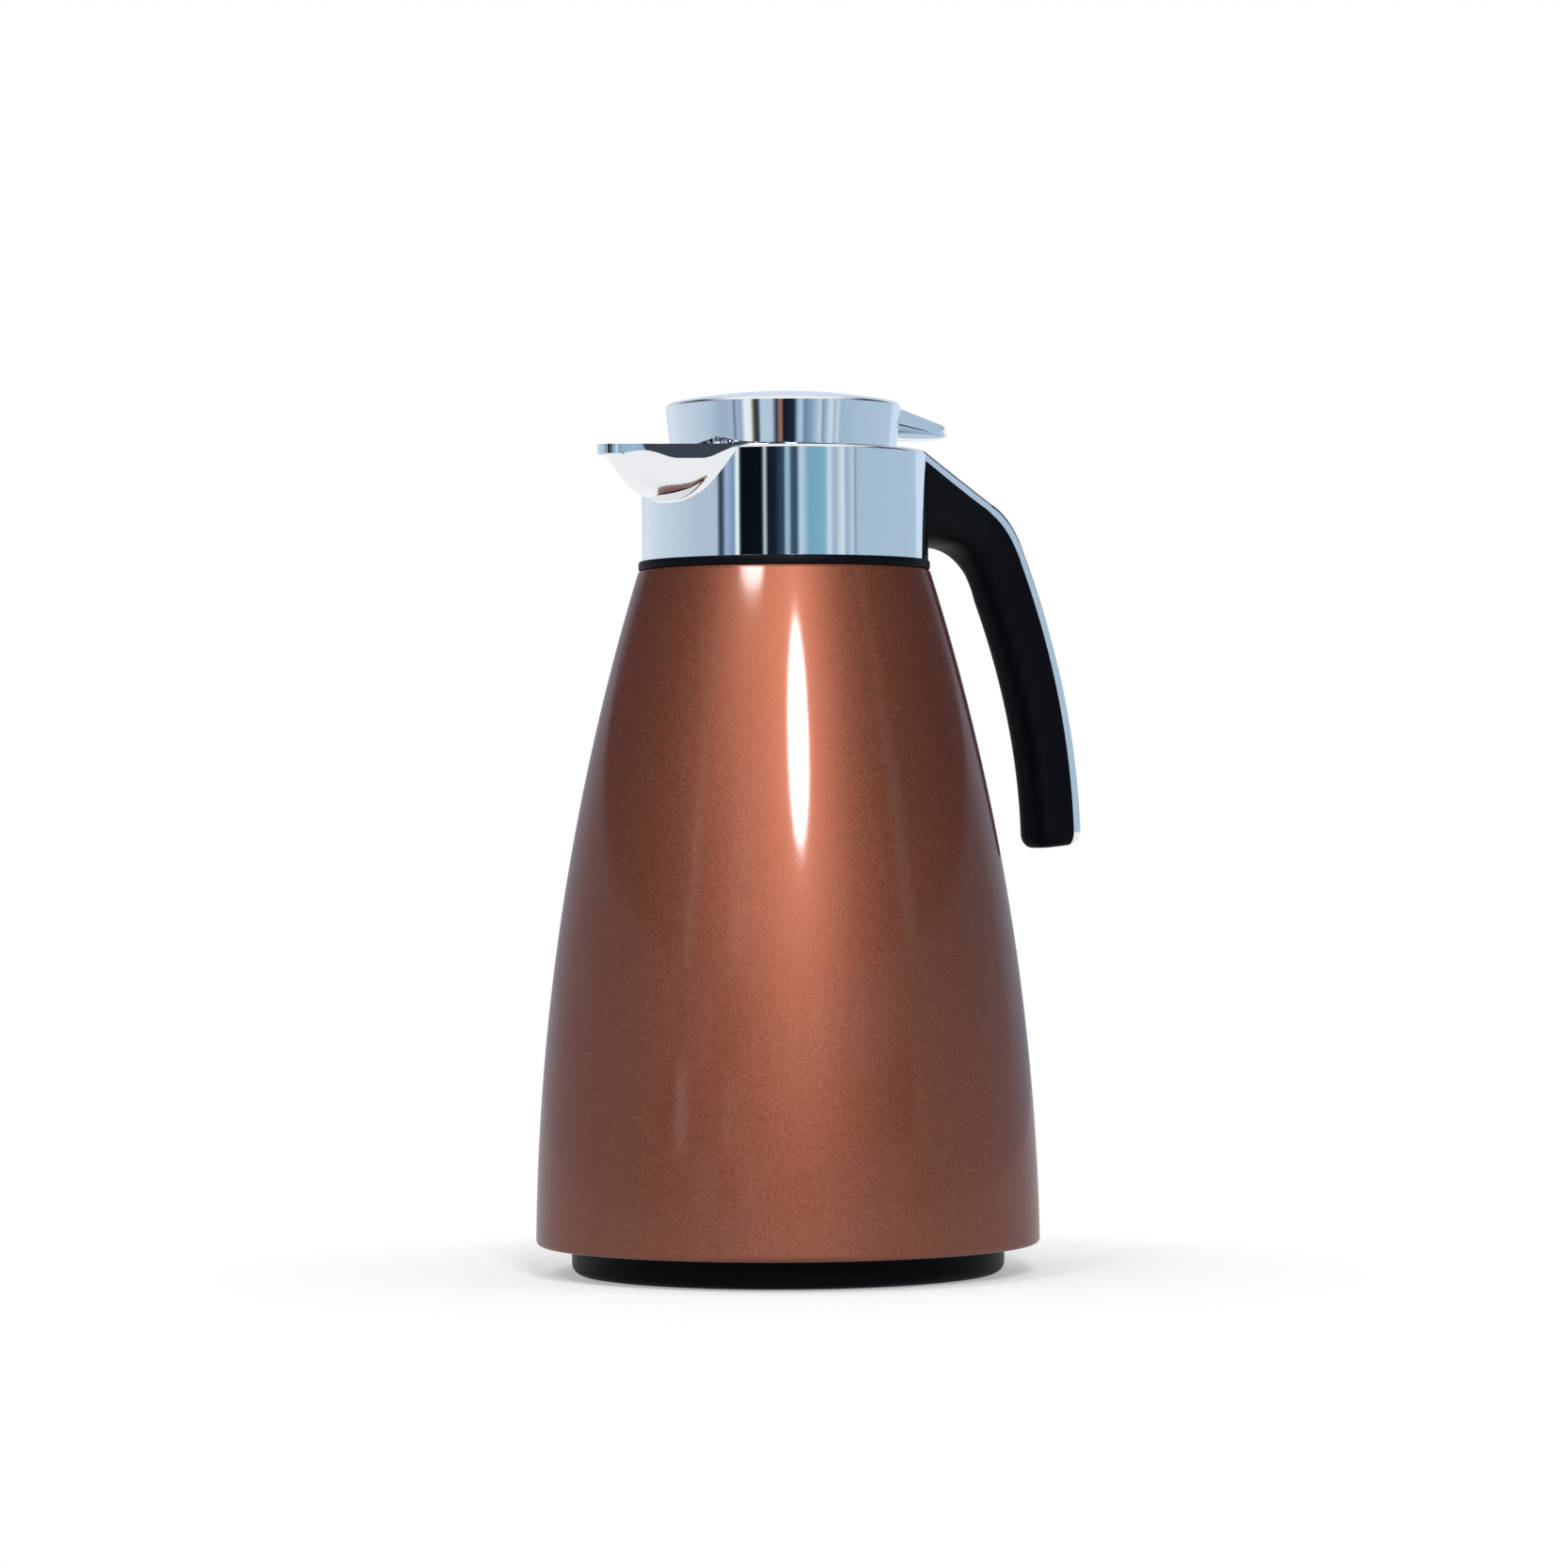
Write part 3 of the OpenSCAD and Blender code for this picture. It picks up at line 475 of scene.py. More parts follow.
class Surface(NodeMaker):
    """A material with a Principled shader, whose fixed sockets are set at once."""

    def __init__(self, name, **sockets):
        self.material = bpy.data.materials.new(name + "_finish")
        self.material.use_nodes = True
        super().__init__(self.material.node_tree)
        self.shader = self.tree.nodes["Principled BSDF"]
        self.where = self.place()
        for socket, value in sockets.items():
            self.set(socket, value)

    def set(self, socket, value):
        """Sets or links a socket of the shader, named with underscores."""
        self.feed(self.shader.inputs[socket.replace("_", " ")], value)

    def noise(self, scale, detail):
        """Smooth noise from 0 to 1, at one scale or at a scale for each axis."""
        inputs = {"Vector": self.where, "Scale": scale, "Detail": detail}
        if isinstance(scale, tuple):
            stretched = self.node(
                "VectorMath", {"operation": "MULTIPLY"}, {0: self.where, 1: scale}
            )
            inputs.update(Vector=stretched.outputs["Vector"], Scale=1.0)
        return Value(self, self.node("TexNoise", {}, inputs).outputs["Fac"])

    def dress(self, tints, share, roughness, bump):
        """Feeds two mixed tints, a roughness and a bump to the shader."""
        self.set("Base_Color", self.mix(share, *tints))
        self.set("Roughness", roughness)
        self.set("Normal", self.bump(*bump))
        return self.material


def shades(tint, *shares):
    """A colour at several levels of brightness, each with its fourth value."""
    return [(*(min(1.0, part * share) for part in tint), 1.0) for share in shares]


# ---- finishes
def shell_paint(look):
    """Copper flake paint under a clear coat."""
    paint = Surface(
        "shell_paint", Metallic=0.86, Coat_Roughness=0.09, Coat_IOR=1.5,
        Coat_Weight=0.38, Specular_IOR_Level=0.4, Specular_Tint=(0.55, 0.50, 0.60, 1),
    )
    cells = paint.node(
        "TexVoronoi", {"feature": "F1"}, {"Vector": paint.where, "Scale": 3300.0}
    )
    flake = Value(paint, cells.outputs["Color"])
    cloud = paint.noise(9.0, 3.0)
    bright = (flake * 0.85 + cloud * 0.4 - 0.15).clipped()
    tints = shades(look.copper, 1) + shades(look.copper_flake, 1)
    roughness = 0.43 + 0.14 * flake + 0.03 * cloud
    return paint.dress(tints, bright, roughness, (flake, 0.35, 0.00003))


def plating(look):
    """Polished plating with faint smears and a slow waviness."""
    metal = Surface("plating", Metallic=1.0)
    smear = metal.noise((30.0, 30.0, 90.0), 4.0)
    hair = metal.noise((140.0, 140.0, 2600.0), 2.0)
    wave = metal.noise(26.0, 1.0)
    tints = shades(look.plating, 0.97, 1.03)
    return metal.dress(tints, smear, 0.018 + 0.028 * smear * hair, (wave, 0.06, 0.0006))


def black_satin(look):
    """Black moulding with a fine satin grain."""
    plastic = Surface("black_satin", Specular_IOR_Level=0.035)
    grain, patch = plastic.noise(1500.0, 2.0), plastic.noise(22.0, 3.0)
    tints = shades(look.moulding, 0.85, 1.25)
    roughness = 0.36 + 0.08 * patch + 0.05 * grain
    return plastic.dress(tints, patch, roughness, (grain, 0.12, 0.00003))


def black_soft(look):
    """Matt black grip with a fine moulded grain."""
    plastic = Surface("black_soft", Specular_IOR_Level=0.03)
    grain, patch = plastic.noise(1900.0, 3.0), plastic.noise(30.0, 3.0)
    tints = shades(look.grip, 0.85, 1.25)
    roughness = 0.40 + 0.07 * patch + 0.06 * grain
    return plastic.dress(tints, patch, roughness, (grain, 0.18, 0.00003))


def black_rubber(look):
    """Black rubber with a dusty bloom."""
    rubber = Surface("black_rubber", Specular_IOR_Level=0.35)
    bloom, grain = rubber.noise(60.0, 4.0), rubber.noise(1300.0, 2.0)
    tints = shades(look.rubber, 0.8, 1.7)
    return rubber.dress(tints, bloom, 0.66 + 0.14 * bloom, (grain, 0.2, 0.00004))


def silicone(look):
    """Milky silicone, a little uneven."""
    rubber = Surface("silicone", Specular_IOR_Level=0.4, Subsurface_Weight=0.08)
    cloud = rubber.noise(120.0, 3.0)
    tints = shades(look.silicone, 0.94, 1.06)
    return rubber.dress(tints, cloud, 0.42 + 0.12 * cloud, (cloud, 0.08, 0.0001))


def silvered_glass(look):
    """Mirror-silvered glass with the slow ripple of a blown wall."""
    glass = Surface("silvered_glass", Metallic=1.0, Coat_Weight=1.0, Coat_Roughness=0.02)
    ripple, spots = glass.noise((14.0, 14.0, 34.0), 2.0), glass.noise(160.0, 4.0)
    tints = shades(look.glass, 0.92, 1.05)
    return glass.dress(tints, spots, 0.03 + 0.05 * spots, (ripple, 0.25, 0.0012))


def steel(look):
    """Turned steel with fine lathe rings."""
    metal = Surface("steel", Metallic=1.0)
    rings, patch = metal.noise((400.0, 400.0, 5200.0), 2.0), metal.noise(90.0, 3.0)
    tints = shades(look.steel, 0.92, 1.06)
    return metal.dress(tints, patch, 0.22 + 0.12 * rings, (rings, 0.10, 0.00004))


FINISHES = {
    make.__name__: make
    for make in (
        shell_paint, plating, black_satin, black_soft, black_rubber, silicone,
        silvered_glass, steel,
    )
}


def finish(slot):
    """The material of a slot, made the first time that it is asked for."""
    made = bpy.data.materials.get(slot + "_finish")
    return made or FINISHES[slot](bpy.context.scene.jug_finishes)


# ---- shell, ring and base
MOUTH_STEP = 1 * MM  # how far the shell's mouth stands out from the collar
MOUTH_LEAN = 10  # degrees by which the bell's side leans in under its mouth


def bell_radius(sizes, height):
    """Outer radius of the shell: an arc that stands upright at the table."""
    bow = sizes.radius - (COLLAR_RADIUS + MOUTH_STEP)
    rho = (SHELL_TOP ** 2 + bow ** 2) / (2 * bow)
    return sizes.radius - rho + sqrt(rho ** 2 - height ** 2)


def bell_side(sizes, inset, start, end, steps=56):
    """Points up the bell's side, inset from its outer face."""
    return [(bell_radius(sizes, z) - inset, z) for z in spread(start, end, steps)]


def shell_mesh(sizes):
    """The painted bell with its rolled foot and turned-in top, as one closed wall."""
    edge = bell_radius(sizes, SHELL_FOOT + sizes.roll)
    roll_at = (edge - sizes.roll, SHELL_FOOT + sizes.roll)
    top_radius = bell_radius(sizes, SHELL_TOP)
    top_at = (top_radius - sizes.top_round, SHELL_TOP - sizes.top_round)
    blend = 0.6 * MM  # height over which the roll runs into the side
    side = (SHELL_FOOT + sizes.roll + blend, SHELL_TOP - sizes.top_round)
    inner_round = sizes.top_round - sizes.wall
    outer = (
        [(roll_at[0] - sizes.hem, SHELL_FOOT)]
        + arc(roll_at, sizes.roll, -90, 0)
        + bell_side(sizes, 0, *side)
        + arc(top_at, sizes.top_round, MOUTH_LEAN, 90)
        + [(top_radius - sizes.top_hem, SHELL_TOP)]
    )
    inner = (
        [(top_radius - sizes.top_hem, SHELL_TOP - sizes.wall)]
        + arc(top_at, inner_round, 90, MOUTH_LEAN)
        + bell_side(sizes, sizes.wall, *reversed(side))
        + arc(roll_at, sizes.roll - sizes.wall, 0, -90)
        + [(roll_at[0] - sizes.hem, SHELL_FOOT + sizes.wall)]
    )
    return turned(outer + inner, steps=360)


def ring_mesh(sizes):
    """The black neck ring with its spigot inside the shell's mouth."""
    inner = low_radius("neck_ring")
    gap = 0.1 * MM  # between the spigot and the shell's mouth
    in_by, down_by = 0.4 * MM, 0.6 * MM  # chamfer under the collar
    spigot = bell_radius(sizes, SHELL_TOP) - sizes.top_hem - gap
    foot = low("neck_ring").z
    outline = [
        (inner, foot), (spigot, foot), (spigot, SHELL_TOP),
        (RING_RADIUS, SHELL_TOP), (RING_RADIUS, COLLAR_FOOT - down_by),
        (RING_RADIUS - in_by, COLLAR_FOOT), (inner, COLLAR_FOOT),
    ]
    return turned(rounded(outline, sizes.ring_round))


def low_radius(node):
    """Smallest distance from the axis to a CAD node."""
    return min(hypot(v.co.x, v.co.y) for v in frame["nodes"][node].data.vertices)


# ---- collar and spout
class SpoutForm:
    """The spout as widths and depths at distances from the axis."""

    LEAST_EDGE = 0.8 * MM  # height of the rim's plain edge at the lip's foot
    EDGE_START, EDGE_GROWTH, EDGE_END = 0.15, 0.35, 0.3  # shares of the run
    LEAN = 0.09  # lean of the rim, as a share of the edge's height
    FLARE, FLARE_REACH = 0.9 * MM, 1.3 * MM  # size and reach of the root's flare
    INNER = 28 * MM  # no part of the spout is nearer to the axis

    def __init__(self, sizes):
        self.sizes = sizes
        self.nose_start = SPOUT_REACH - sizes.nose
        self.bend = COLLAR_RADIUS + 0.5 * MM
        self.end = SPOUT_REACH - 2.1 * MM
        self.rim = COLLAR_TOP - LAP
        self.root = sqrt(COLLAR_RADIUS ** 2 - (sizes.spout_width / 2) ** 2)
        self.run = self.nose_start - self.root
        self.grow = (sizes.spout_width - sizes.tip_width) / 2 / self.run

    def half(self, x):
        """Half the width at a distance."""
        tip = self.sizes.tip_width / 2
        if x < self.nose_start:
            return tip + self.grow * (self.nose_start - x)
        share = min(1.0, (x - self.nose_start) / self.sizes.nose)
        return tip * sqrt(max(0.0, 1 - share ** 2))

    def drop(self, x):
        """Depth under the rim at a distance."""
        if x < self.bend:
            return self.sizes.depth
        share = (x - self.bend) / (self.end - self.bend)
        return max(self.sizes.lip, self.sizes.depth * (1 - share ** 2))

    def edge(self, x):
        """Height of the plain edge under the rim, low behind the lip and at the collar."""
        lip, least = self.sizes.lip, self.LEAST_EDGE
        low = min(lip, max(least, lip - (lip - least) * (self.nose_start - x) / self.sizes.fade))
        share = (self.nose_start - x) / self.run
        grown = ease((share - self.EDGE_START) / self.EDGE_GROWTH)
        return low + (self.sizes.edge - low) * grown * ease((1 - share) / self.EDGE_END)

    def lean(self, x):
        """How far the rim leans in over the plain edge."""
        near, fade = 3 * MM, 6 * MM  # from the nose's start, and over which it grows
        return self.LEAN * self.edge(x) * ease((self.nose_start - near - x) / fade)

    def flare(self, x, s):
        """How far the spout widens below its rim where it runs into the collar."""
        away = (hypot(x, s * self.half(x)) - COLLAR_RADIUS) / self.FLARE_REACH
        return self.FLARE * (1 - s ** 4) * (1 - clamp(away)) ** 2

    def depth_at(self, x, s):
        """Depth under the rim at a share s of the half-width."""
        edge = self.edge(x)
        return edge + (self.drop(x) - edge) * (1 - abs(s) ** self.sizes.swell) ** 0.9

    def start(self, s, radius, rounds=24):
        """Distance at which the rail s leaves an upright cylinder."""
        x = radius
        for _ in range(rounds):
            x = sqrt(max(0.0, radius ** 2 - (s * self.half(x)) ** 2))
        return x

    def holds(self, point, inset):
        """Whether a point lies inside the spout, inset from its outer face."""
        x = -point.x
        if x < self.INNER:
            return False
        half = self.half(x) - inset
        share = abs(point.y) / half
        return share < 1 and self.rim - point.z < self.depth_at(x, share) - inset


def collar_mesh(sizes, spout):
    """The collar's outer face with the spout's opening left out."""
    edge = rim(COLLAR_RADIUS, COLLAR_TOP, sizes.top_round, 90)
    below = 2 * MM  # finer rows start this far under the spout
    band_foot = COLLAR_TOP - sizes.depth - below
    heights = spread(COLLAR_FOOT, band_foot, 6)[:-1] + spread(band_foot, edge[0][1], 26)[:-1]
    side = [(COLLAR_RADIUS, z) for z in heights]
    deck = [(r, COLLAR_TOP) for r in spread(edge[-1][0], sizes.deck_radius, 8)[1:]]
    bm = turned(side + edge + deck, closed=False, steps=432)
    face_away(bm, COLLAR_FOOT)
    inside = [
        face for face in bm.faces
        if spout.holds(face.calc_center_median(), sizes.spout_wall / 2)
    ]
    bmesh.ops.delete(bm, geom=inside, context="FACES")
    return bm


def spout_mesh(sizes, spout):
    """The spout's outer face, from inside the collar's wall to its round nose."""
    seat = COLLAR_RADIUS - sizes.wall / 2
    nose_share = 0.86  # share of the rows at which the nose starts

    def place(u, v):
        s = sin(pi * (u - 0.5))
        x0 = spout.start(s, seat)
        if v < nose_share:
            x = x0 + (spout.nose_start - x0) * v / nose_share
        else:
            x = spout.nose_start + sizes.nose * sin(pi / 2 * (v - nose_share) / (1 - nose_share))
        half = spout.half(x)
        depth = spout.depth_at(x, s)
        flare = spout.flare(x, s)
        if u in (0, 1):
            return Vector((-x, s * (half - spout.lean(x)), spout.rim))
        return Vector((-x, s * (half + flare), spout.rim - depth - flare))

    bm = mapped_sheet(80, 72, place, dist=5e-6)
    bmesh.ops.dissolve_degenerate(bm, edges=bm.edges, dist=SLIVER)
    face_away(bm, COLLAR_TOP)
    return bm


# ---- lid
def lid_mesh(sizes):
    """The lid's outer face with the lever's notch cut out."""
    dome_inset = 1 * MM
    dome_radius = LID_RADIUS - dome_inset
    rho = (dome_radius ** 2 + sizes.dome ** 2) / (2 * sizes.dome)

    def roof_at(radius):
        return radius, LID_TOP - rho + sqrt(rho ** 2 - radius ** 2)

    roof_lean = degrees(asin(dome_radius / rho))
    inset = sizes.edge_round * (cos(radians(RIM_START)) - sin(radians(roof_lean)))
    roof_edge = roof_at(LID_RADIUS - inset)
    edge = rim(LID_RADIUS, roof_edge[1], sizes.edge_round, 90 - roof_lean)
    roof = [roof_at(roof_edge[0] * (1 - t)) for t in spread(0, 1, 22)[1:]]
    side = [
        (LID_RADIUS - sizes.lean * (1 - t), LID_FOOT + (edge[0][1] - LID_FOOT) * t)
        for t in spread(0, 1, 10)[:-1]
    ]
    bm = turned(side + edge + roof, closed=False)
    face_away(bm, LID_FOOT)
    margin = 4 * MM  # only faces this near to the notch are cut
    floor = COLLAR_TOP + sizes.notch_foot
    half = sizes.notch_width / 2
    cuts = [
        ((0, half, 0), (0, 1, 0)), ((0, -half, 0), (0, 1, 0)),
        ((sizes.notch_front, 0, 0), (1, 0, 0)), ((0, 0, floor), (0, 0, 1)),
    ]
    for point, normal in cuts:
        near = [f for f in bm.faces if f.calc_center_median().x > sizes.notch_front - margin]
        geom = [*near, *{e for f in near for e in f.edges}, *{v for f in near for v in f.verts}]
        bmesh.ops.bisect_plane(bm, geom=geom, plane_co=point, plane_no=normal, dist=1e-6)
    cut_out = [
        face for face in bm.faces
        for middle in [face.calc_center_median()]
        if middle.x > sizes.notch_front and abs(middle.y) < half and middle.z > floor
    ]
    bmesh.ops.delete(bm, geom=cut_out, context="FACES")
    return bm


# ---- handle
CURVED_SHARE = 0.8  # share of a section's points on its curved side


class HandleForm:
    """The handle as stations along two rails, with the seam between grip and strip."""

    ARM, ELBOW = 0.36, 0.56  # shares of the handle's run at which its curves meet
    TAIL = 0.94  # share at which the end's rounding starts
    BACK = 90 * MM  # length of the back, from its bend to its end
    ROOT = 30 * MM  # distance from the axis at which the rails start
    SEAT = 6.2 * MM  # height of the inner rail over the collar's foot

    def __init__(self, sizes):
        self.sizes = sizes
        self.radius = COLLAR_RADIUS + LAP
        reach, foot, top = HANDLE_REACH, HANDLE_FOOT, COLLAR_TOP
        seat, grip = COLLAR_FOOT + self.SEAT, sizes.thickness

        def at(x, z, inward=0.0, down=0.0):
            return Vector((x - inward * MM, 0, z - down * MM))

        root = at(self.ROOT, top, 0, -4.1)
        bend, turn = at(reach, top, 34.5, 12.8), at(reach, top, 25.9, 16.6)
        back, bulge = at(reach, top, 21.4, 28.1), at(reach, foot, 0.7, -43.2)
        self.outer = [
            (root, (root + bend) / 2, bend), (bend, turn, back), (back, bulge, at(reach, foot)),
        ]
        arch, knee = at(COLLAR_RADIUS, seat, -3.5), at(COLLAR_RADIUS, seat, -16, 0.8)
        crown, throat = at(reach, seat, 36.2, 1.6), at(reach, top, 31.3, 43.1)
        palm, end = at(reach - grip, foot, 0.6, -34.8), at(reach - grip, foot)
        self.inner = [
            (at(self.ROOT, seat), arch, knee), (knee, crown, throat), (throat, palm, end),
        ]

    def half(self, x):
        """Half the width at a distance from the axis; the arm narrows evenly to the bend."""
        near, bend = self.outer[0][0].x, self.outer[0][2].x
        share = clamp((bend - x) / (bend - near))
        return (self.sizes.width + (self.sizes.root_width - self.sizes.width) * share) / 2

    def station(self, v):
        """Outer rail, inner rail and end inset at a share of the run."""
        sizes = self.sizes
        last = 1 - 1.5 * sizes.end_round / self.BACK
        if v < self.ARM:
            curve, t = 0, v / self.ARM
        elif v < self.ELBOW:
            curve, t = 1, (v - self.ARM) / (self.ELBOW - self.ARM)
        else:
            curve, t = 2, last * min(1, (v - self.ELBOW) / (self.TAIL - self.ELBOW))
        out, back = bezier(*self.outer[curve], t), bezier(*self.inner[curve], t)
        if v <= self.TAIL:
            return out, back, 0.0
        turn = pi / 2 * (v - self.TAIL) / (1 - self.TAIL)
        inset = sizes.end_round * (1 - cos(turn))
        down = Vector((0, 0, HANDLE_FOOT - out.z)) * sin(turn)
        aside = Vector((inset, 0, 0))
        return out + down - aside, back + down + aside, inset

    def point(self, strip, u, v):
        """A point of the section: u runs round the curved side and back over the seam."""
        out, back, inset = self.station(v)
        seam = out + (back - out).normalized() * (self.sizes.strip - inset)
        far = out if strip else back
        swell = self.sizes.strip_swell if strip else self.sizes.grip_swell
        if u > CURVED_SHARE:
            across = -1 + 2 * (u - CURVED_SHARE) / (1 - CURVED_SHARE)
            return Vector((seam.x, (self.half(seam.x) - inset) * across, seam.z))
        turn = pi * u / CURVED_SHARE
        rise = max(0.0, sin(turn)) ** (2 / swell)
        side = abs(cos(turn)) ** (2 / swell)
        place = seam + (far - seam) * rise
        half = (self.half(place.x) - inset) * (side if turn < pi / 2 else -side)
        return Vector((place.x, half, place.z))

    def start(self, strip, u, rounds=26):
        """Share of the run at which a rail leaves the collar."""
        near, far = 0.0, self.ARM
        for _ in range(rounds):
            middle = (near + far) / 2
            place = self.point(strip, u, middle)
            if hypot(place.x, place.y) < self.radius:
                near = middle
            else:
                far = middle
        return far


def handle_mesh(form, strip):
    """The grip or the strip, closed at its end; where it meets the collar it is left open."""
    around, run, arm_run = 60, 110, 33  # columns, rows, and rows up to the bend
    starts = [form.start(strip, u) for u in spread(0, 1, around)]

    def side(u, v):
        first, row = starts[round(u * around)], round(v * run)
        if row <= arm_run:
            return form.point(strip, u, first + (form.ARM - first) * row / arm_run)
        return form.point(strip, u, form.ARM + (1 - form.ARM) * (row - arm_run) / (run - arm_run))

    bm = mapped_sheet(around, run, side, dist=4e-6)
    near_foot = HANDLE_FOOT + 1 * MM
    foot = [edge for edge in open_edges(bm) if edge.verts[0].co.z < near_foot]
    bmesh.ops.holes_fill(bm, edges=foot, sides=0)
    tidy(bm)
    return bm


def close_root(piece):
    """Closes the end of a handle piece that stands against the collar."""
    bake_modifiers(piece)
    bm = bmesh.new()
    bm.from_mesh(piece.data)
    bmesh.ops.triangle_fill(bm, use_beauty=True, edges=open_edges(bm))
    tidy(bm)
    bm.to_mesh(piece.data)
    bm.free()


def apron_mesh(sizes):
    """The thin skirt of the grip that lies on the back of the collar."""
    beyond, clear, below, corner = 2 * MM, 0.1 * MM, 5 * MM, 0.3 * MM
    inner, outer = COLLAR_RADIUS + LAP, COLLAR_RADIUS + sizes.apron
    half = sizes.root_width / 2 + beyond
    foot, top = COLLAR_FOOT + clear, COLLAR_TOP - below
    outline = rounded([(inner, foot), (outer, foot), (outer, top), (inner, top)], corner, 3)
    bm = turned(outline)
    for side in (1, -1):
        bmesh.ops.bisect_plane(
            bm, geom=bm.verts[:] + bm.edges[:] + bm.faces[:], plane_co=(0, side * half, 0),
            plane_no=(0, side, 0), clear_outer=True,
        )
    front = [vert for vert in bm.verts if vert.co.x < 0]
    bmesh.ops.delete(bm, geom=front, context="VERTS")
    bmesh.ops.holes_fill(bm, edges=open_edges(bm), sides=0)
    tidy(bm)
    return bm


# ---- inner pieces
FLAT = 0.3  # degrees within which neighbouring faces are one


def copy_of(node, bevel=0.0, sharp=30):
    """A node's shape with its loose triangles merged, its flats joined and its edges eased."""
    bm = bmesh.new()
    bm.from_mesh(frame["nodes"][node].data)
    merge(bm)
    bmesh.ops.dissolve_limit(
        bm, angle_limit=radians(FLAT), verts=bm.verts, edges=bm.edges,
        use_dissolve_boundaries=False,
    )
    piece = as_object(bm, node + "_dressed")
    if bevel:
        soften_edges(piece, bevel, sharp)
    return piece


def spring_mesh(turns=5, radius=5.6 * MM, wire=0.35 * MM):
    """The valve's coil spring, a wire's circle spun up its helix."""
    foot, head = low("valve_spring").z + wire, high("valve_spring").z - wire
    steps = 32 * turns
    bm = bmesh.new()
    circle = bmesh.ops.create_circle(bm, segments=12, radius=wire)["verts"]
    upright = Matrix.Rotation(pi / 2, 3, "X")
    bmesh.ops.rotate(bm, verts=circle, cent=(0, 0, 0), matrix=upright)
    bmesh.ops.translate(bm, verts=circle, vec=(radius, 0, foot))
    bmesh.ops.spin(
        bm, geom=bm.verts[:] + bm.edges[:], cent=(0, 0, 0), axis=(0, 0, 1),
        dvec=(0, 0, (head - foot) / steps), angle=2 * pi * turns, steps=steps,
    )
    bmesh.ops.holes_fill(bm, edges=open_edges(bm), sides=0)
    tidy(bm)
    return bm


# ---- operators
class Undoable:
    """Lets an operator be undone."""

    bl_options = {"REGISTER", "UNDO"}


class JUG_OT_shell(Undoable, bpy.types.Operator):
    """Builds the painted bell and the neck ring"""

    bl_idname = "jug.shell"
    bl_label = "Shell and Neck Ring"

    def execute(self, context):
        sizes = context.scene.jug_shell
        settle(as_object(shell_mesh(sizes), "painted_shell"), "body_shell")
        settle(as_object(ring_mesh(sizes), "moulded_neck_ring"), "neck_ring")
        return {"FINISHED"}


class JUG_OT_collar(Undoable, bpy.types.Operator):
    """Builds the plated collar with its pouring spout"""

    bl_idname = "jug.collar"
    bl_label = "Collar and Spout"

    def execute(self, context):
        sizes = context.scene.jug_collar
        form = SpoutForm(sizes)
        collar = as_object(collar_mesh(sizes, form), "plated_collar")
        add_thickness(collar, sizes.wall)
        settle(collar, "collar", sharp=24)
        spout = as_object(spout_mesh(sizes, form), "pouring_spout")
        add_thickness(spout, sizes.spout_wall)
        soften_edges(spout, 0.25 * MM, sharp=50)
        settle(spout, "collar")
        return {"FINISHED"}


class JUG_OT_lid(Undoable, bpy.types.Operator):
    """Builds the plated lid"""

    bl_idname = "jug.lid"
    bl_label = "Lid"

    def execute(self, context):
        sizes = context.scene.jug_lid
        lid = as_object(lid_mesh(sizes), "plated_lid")
        add_thickness(lid, sizes.wall)
        soften_edges(lid, 0.2 * MM, sharp=45, segments=3)
        settle(lid, "lid_cap", sharp=24)
        return {"FINISHED"}


class JUG_OT_lever(Undoable, bpy.types.Operator):
    """Builds the thumb lever"""

    bl_idname = "jug.lever"
    bl_label = "Thumb Lever"

    def execute(self, context):
        settle(copy_of("thumb_lever", bevel=0.35 * MM, sharp=25), "thumb_lever")
        return {"FINISHED"}


class JUG_OT_handle(Undoable, bpy.types.Operator):
    """Builds the grip and its plated strip"""

    bl_idname = "jug.handle"
    bl_label = "Handle"

    def execute(self, context):
        sizes = context.scene.jug_handle
        form = HandleForm(sizes)
        grip = as_object(handle_mesh(form, strip=False), "moulded_grip")
        close_root(grip)
        settle(grip, "handle_grip")
        settle(as_object(apron_mesh(sizes), "moulded_apron"), "handle_grip")
        strip = as_object(handle_mesh(form, strip=True), "plated_strip")
        soften_edges(strip, 0.3 * MM, sharp=50, segments=5)
        close_root(strip)
        settle(strip, "handle_trim", sharp=16, eased=True)
        return {"FINISHED"}


class JUG_OT_spring(Undoable, bpy.types.Operator):
    """Builds the valve's coil spring"""

    bl_idname = "jug.spring"
    bl_label = "Valve Spring"

    def execute(self, context):
        spring = as_object(spring_mesh(), "coil_spring")
        settle(spring, "valve_spring", sharp=60)
        foot = low("valve_spring").z
        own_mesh(spring)
        return {"FINISHED"}


class JUG_OT_works(Undoable, bpy.types.Operator):
    """Builds the base, the flask, the stopper and the small parts from the frame's shapes"""

    bl_idname = "jug.works"
    bl_label = "Base, Flask and Stopper"

    # Width of the eased edges of each node, in millimetres
    EASED = {
        "base_foot": 0.35, "foot_pad": 0.4, "retaining_ring": 0.3, "base_screws": 0.0,
        "flask_cushion": 0.4, "flask_outer": 0.0, "flask_inner": 0.0, "neck_gasket": 0.3,
        "neck_sleeve": 0.3, "handle_screws": 0.0, "stopper_seal": 0.3, "stopper_body": 0.25,
        "lid_screws": 0.0, "lever_pin": 0.15, "stem_bush": 0.15, "valve_stem": 0.2,
        "valve_disc": 0.2, "valve_washer": 0.2, "spring_cap": 0.1,
    }

    def execute(self, context):
        for node, eased in self.EASED.items():
            settle(copy_of(node, eased * MM), node)
        return {"FINISHED"}


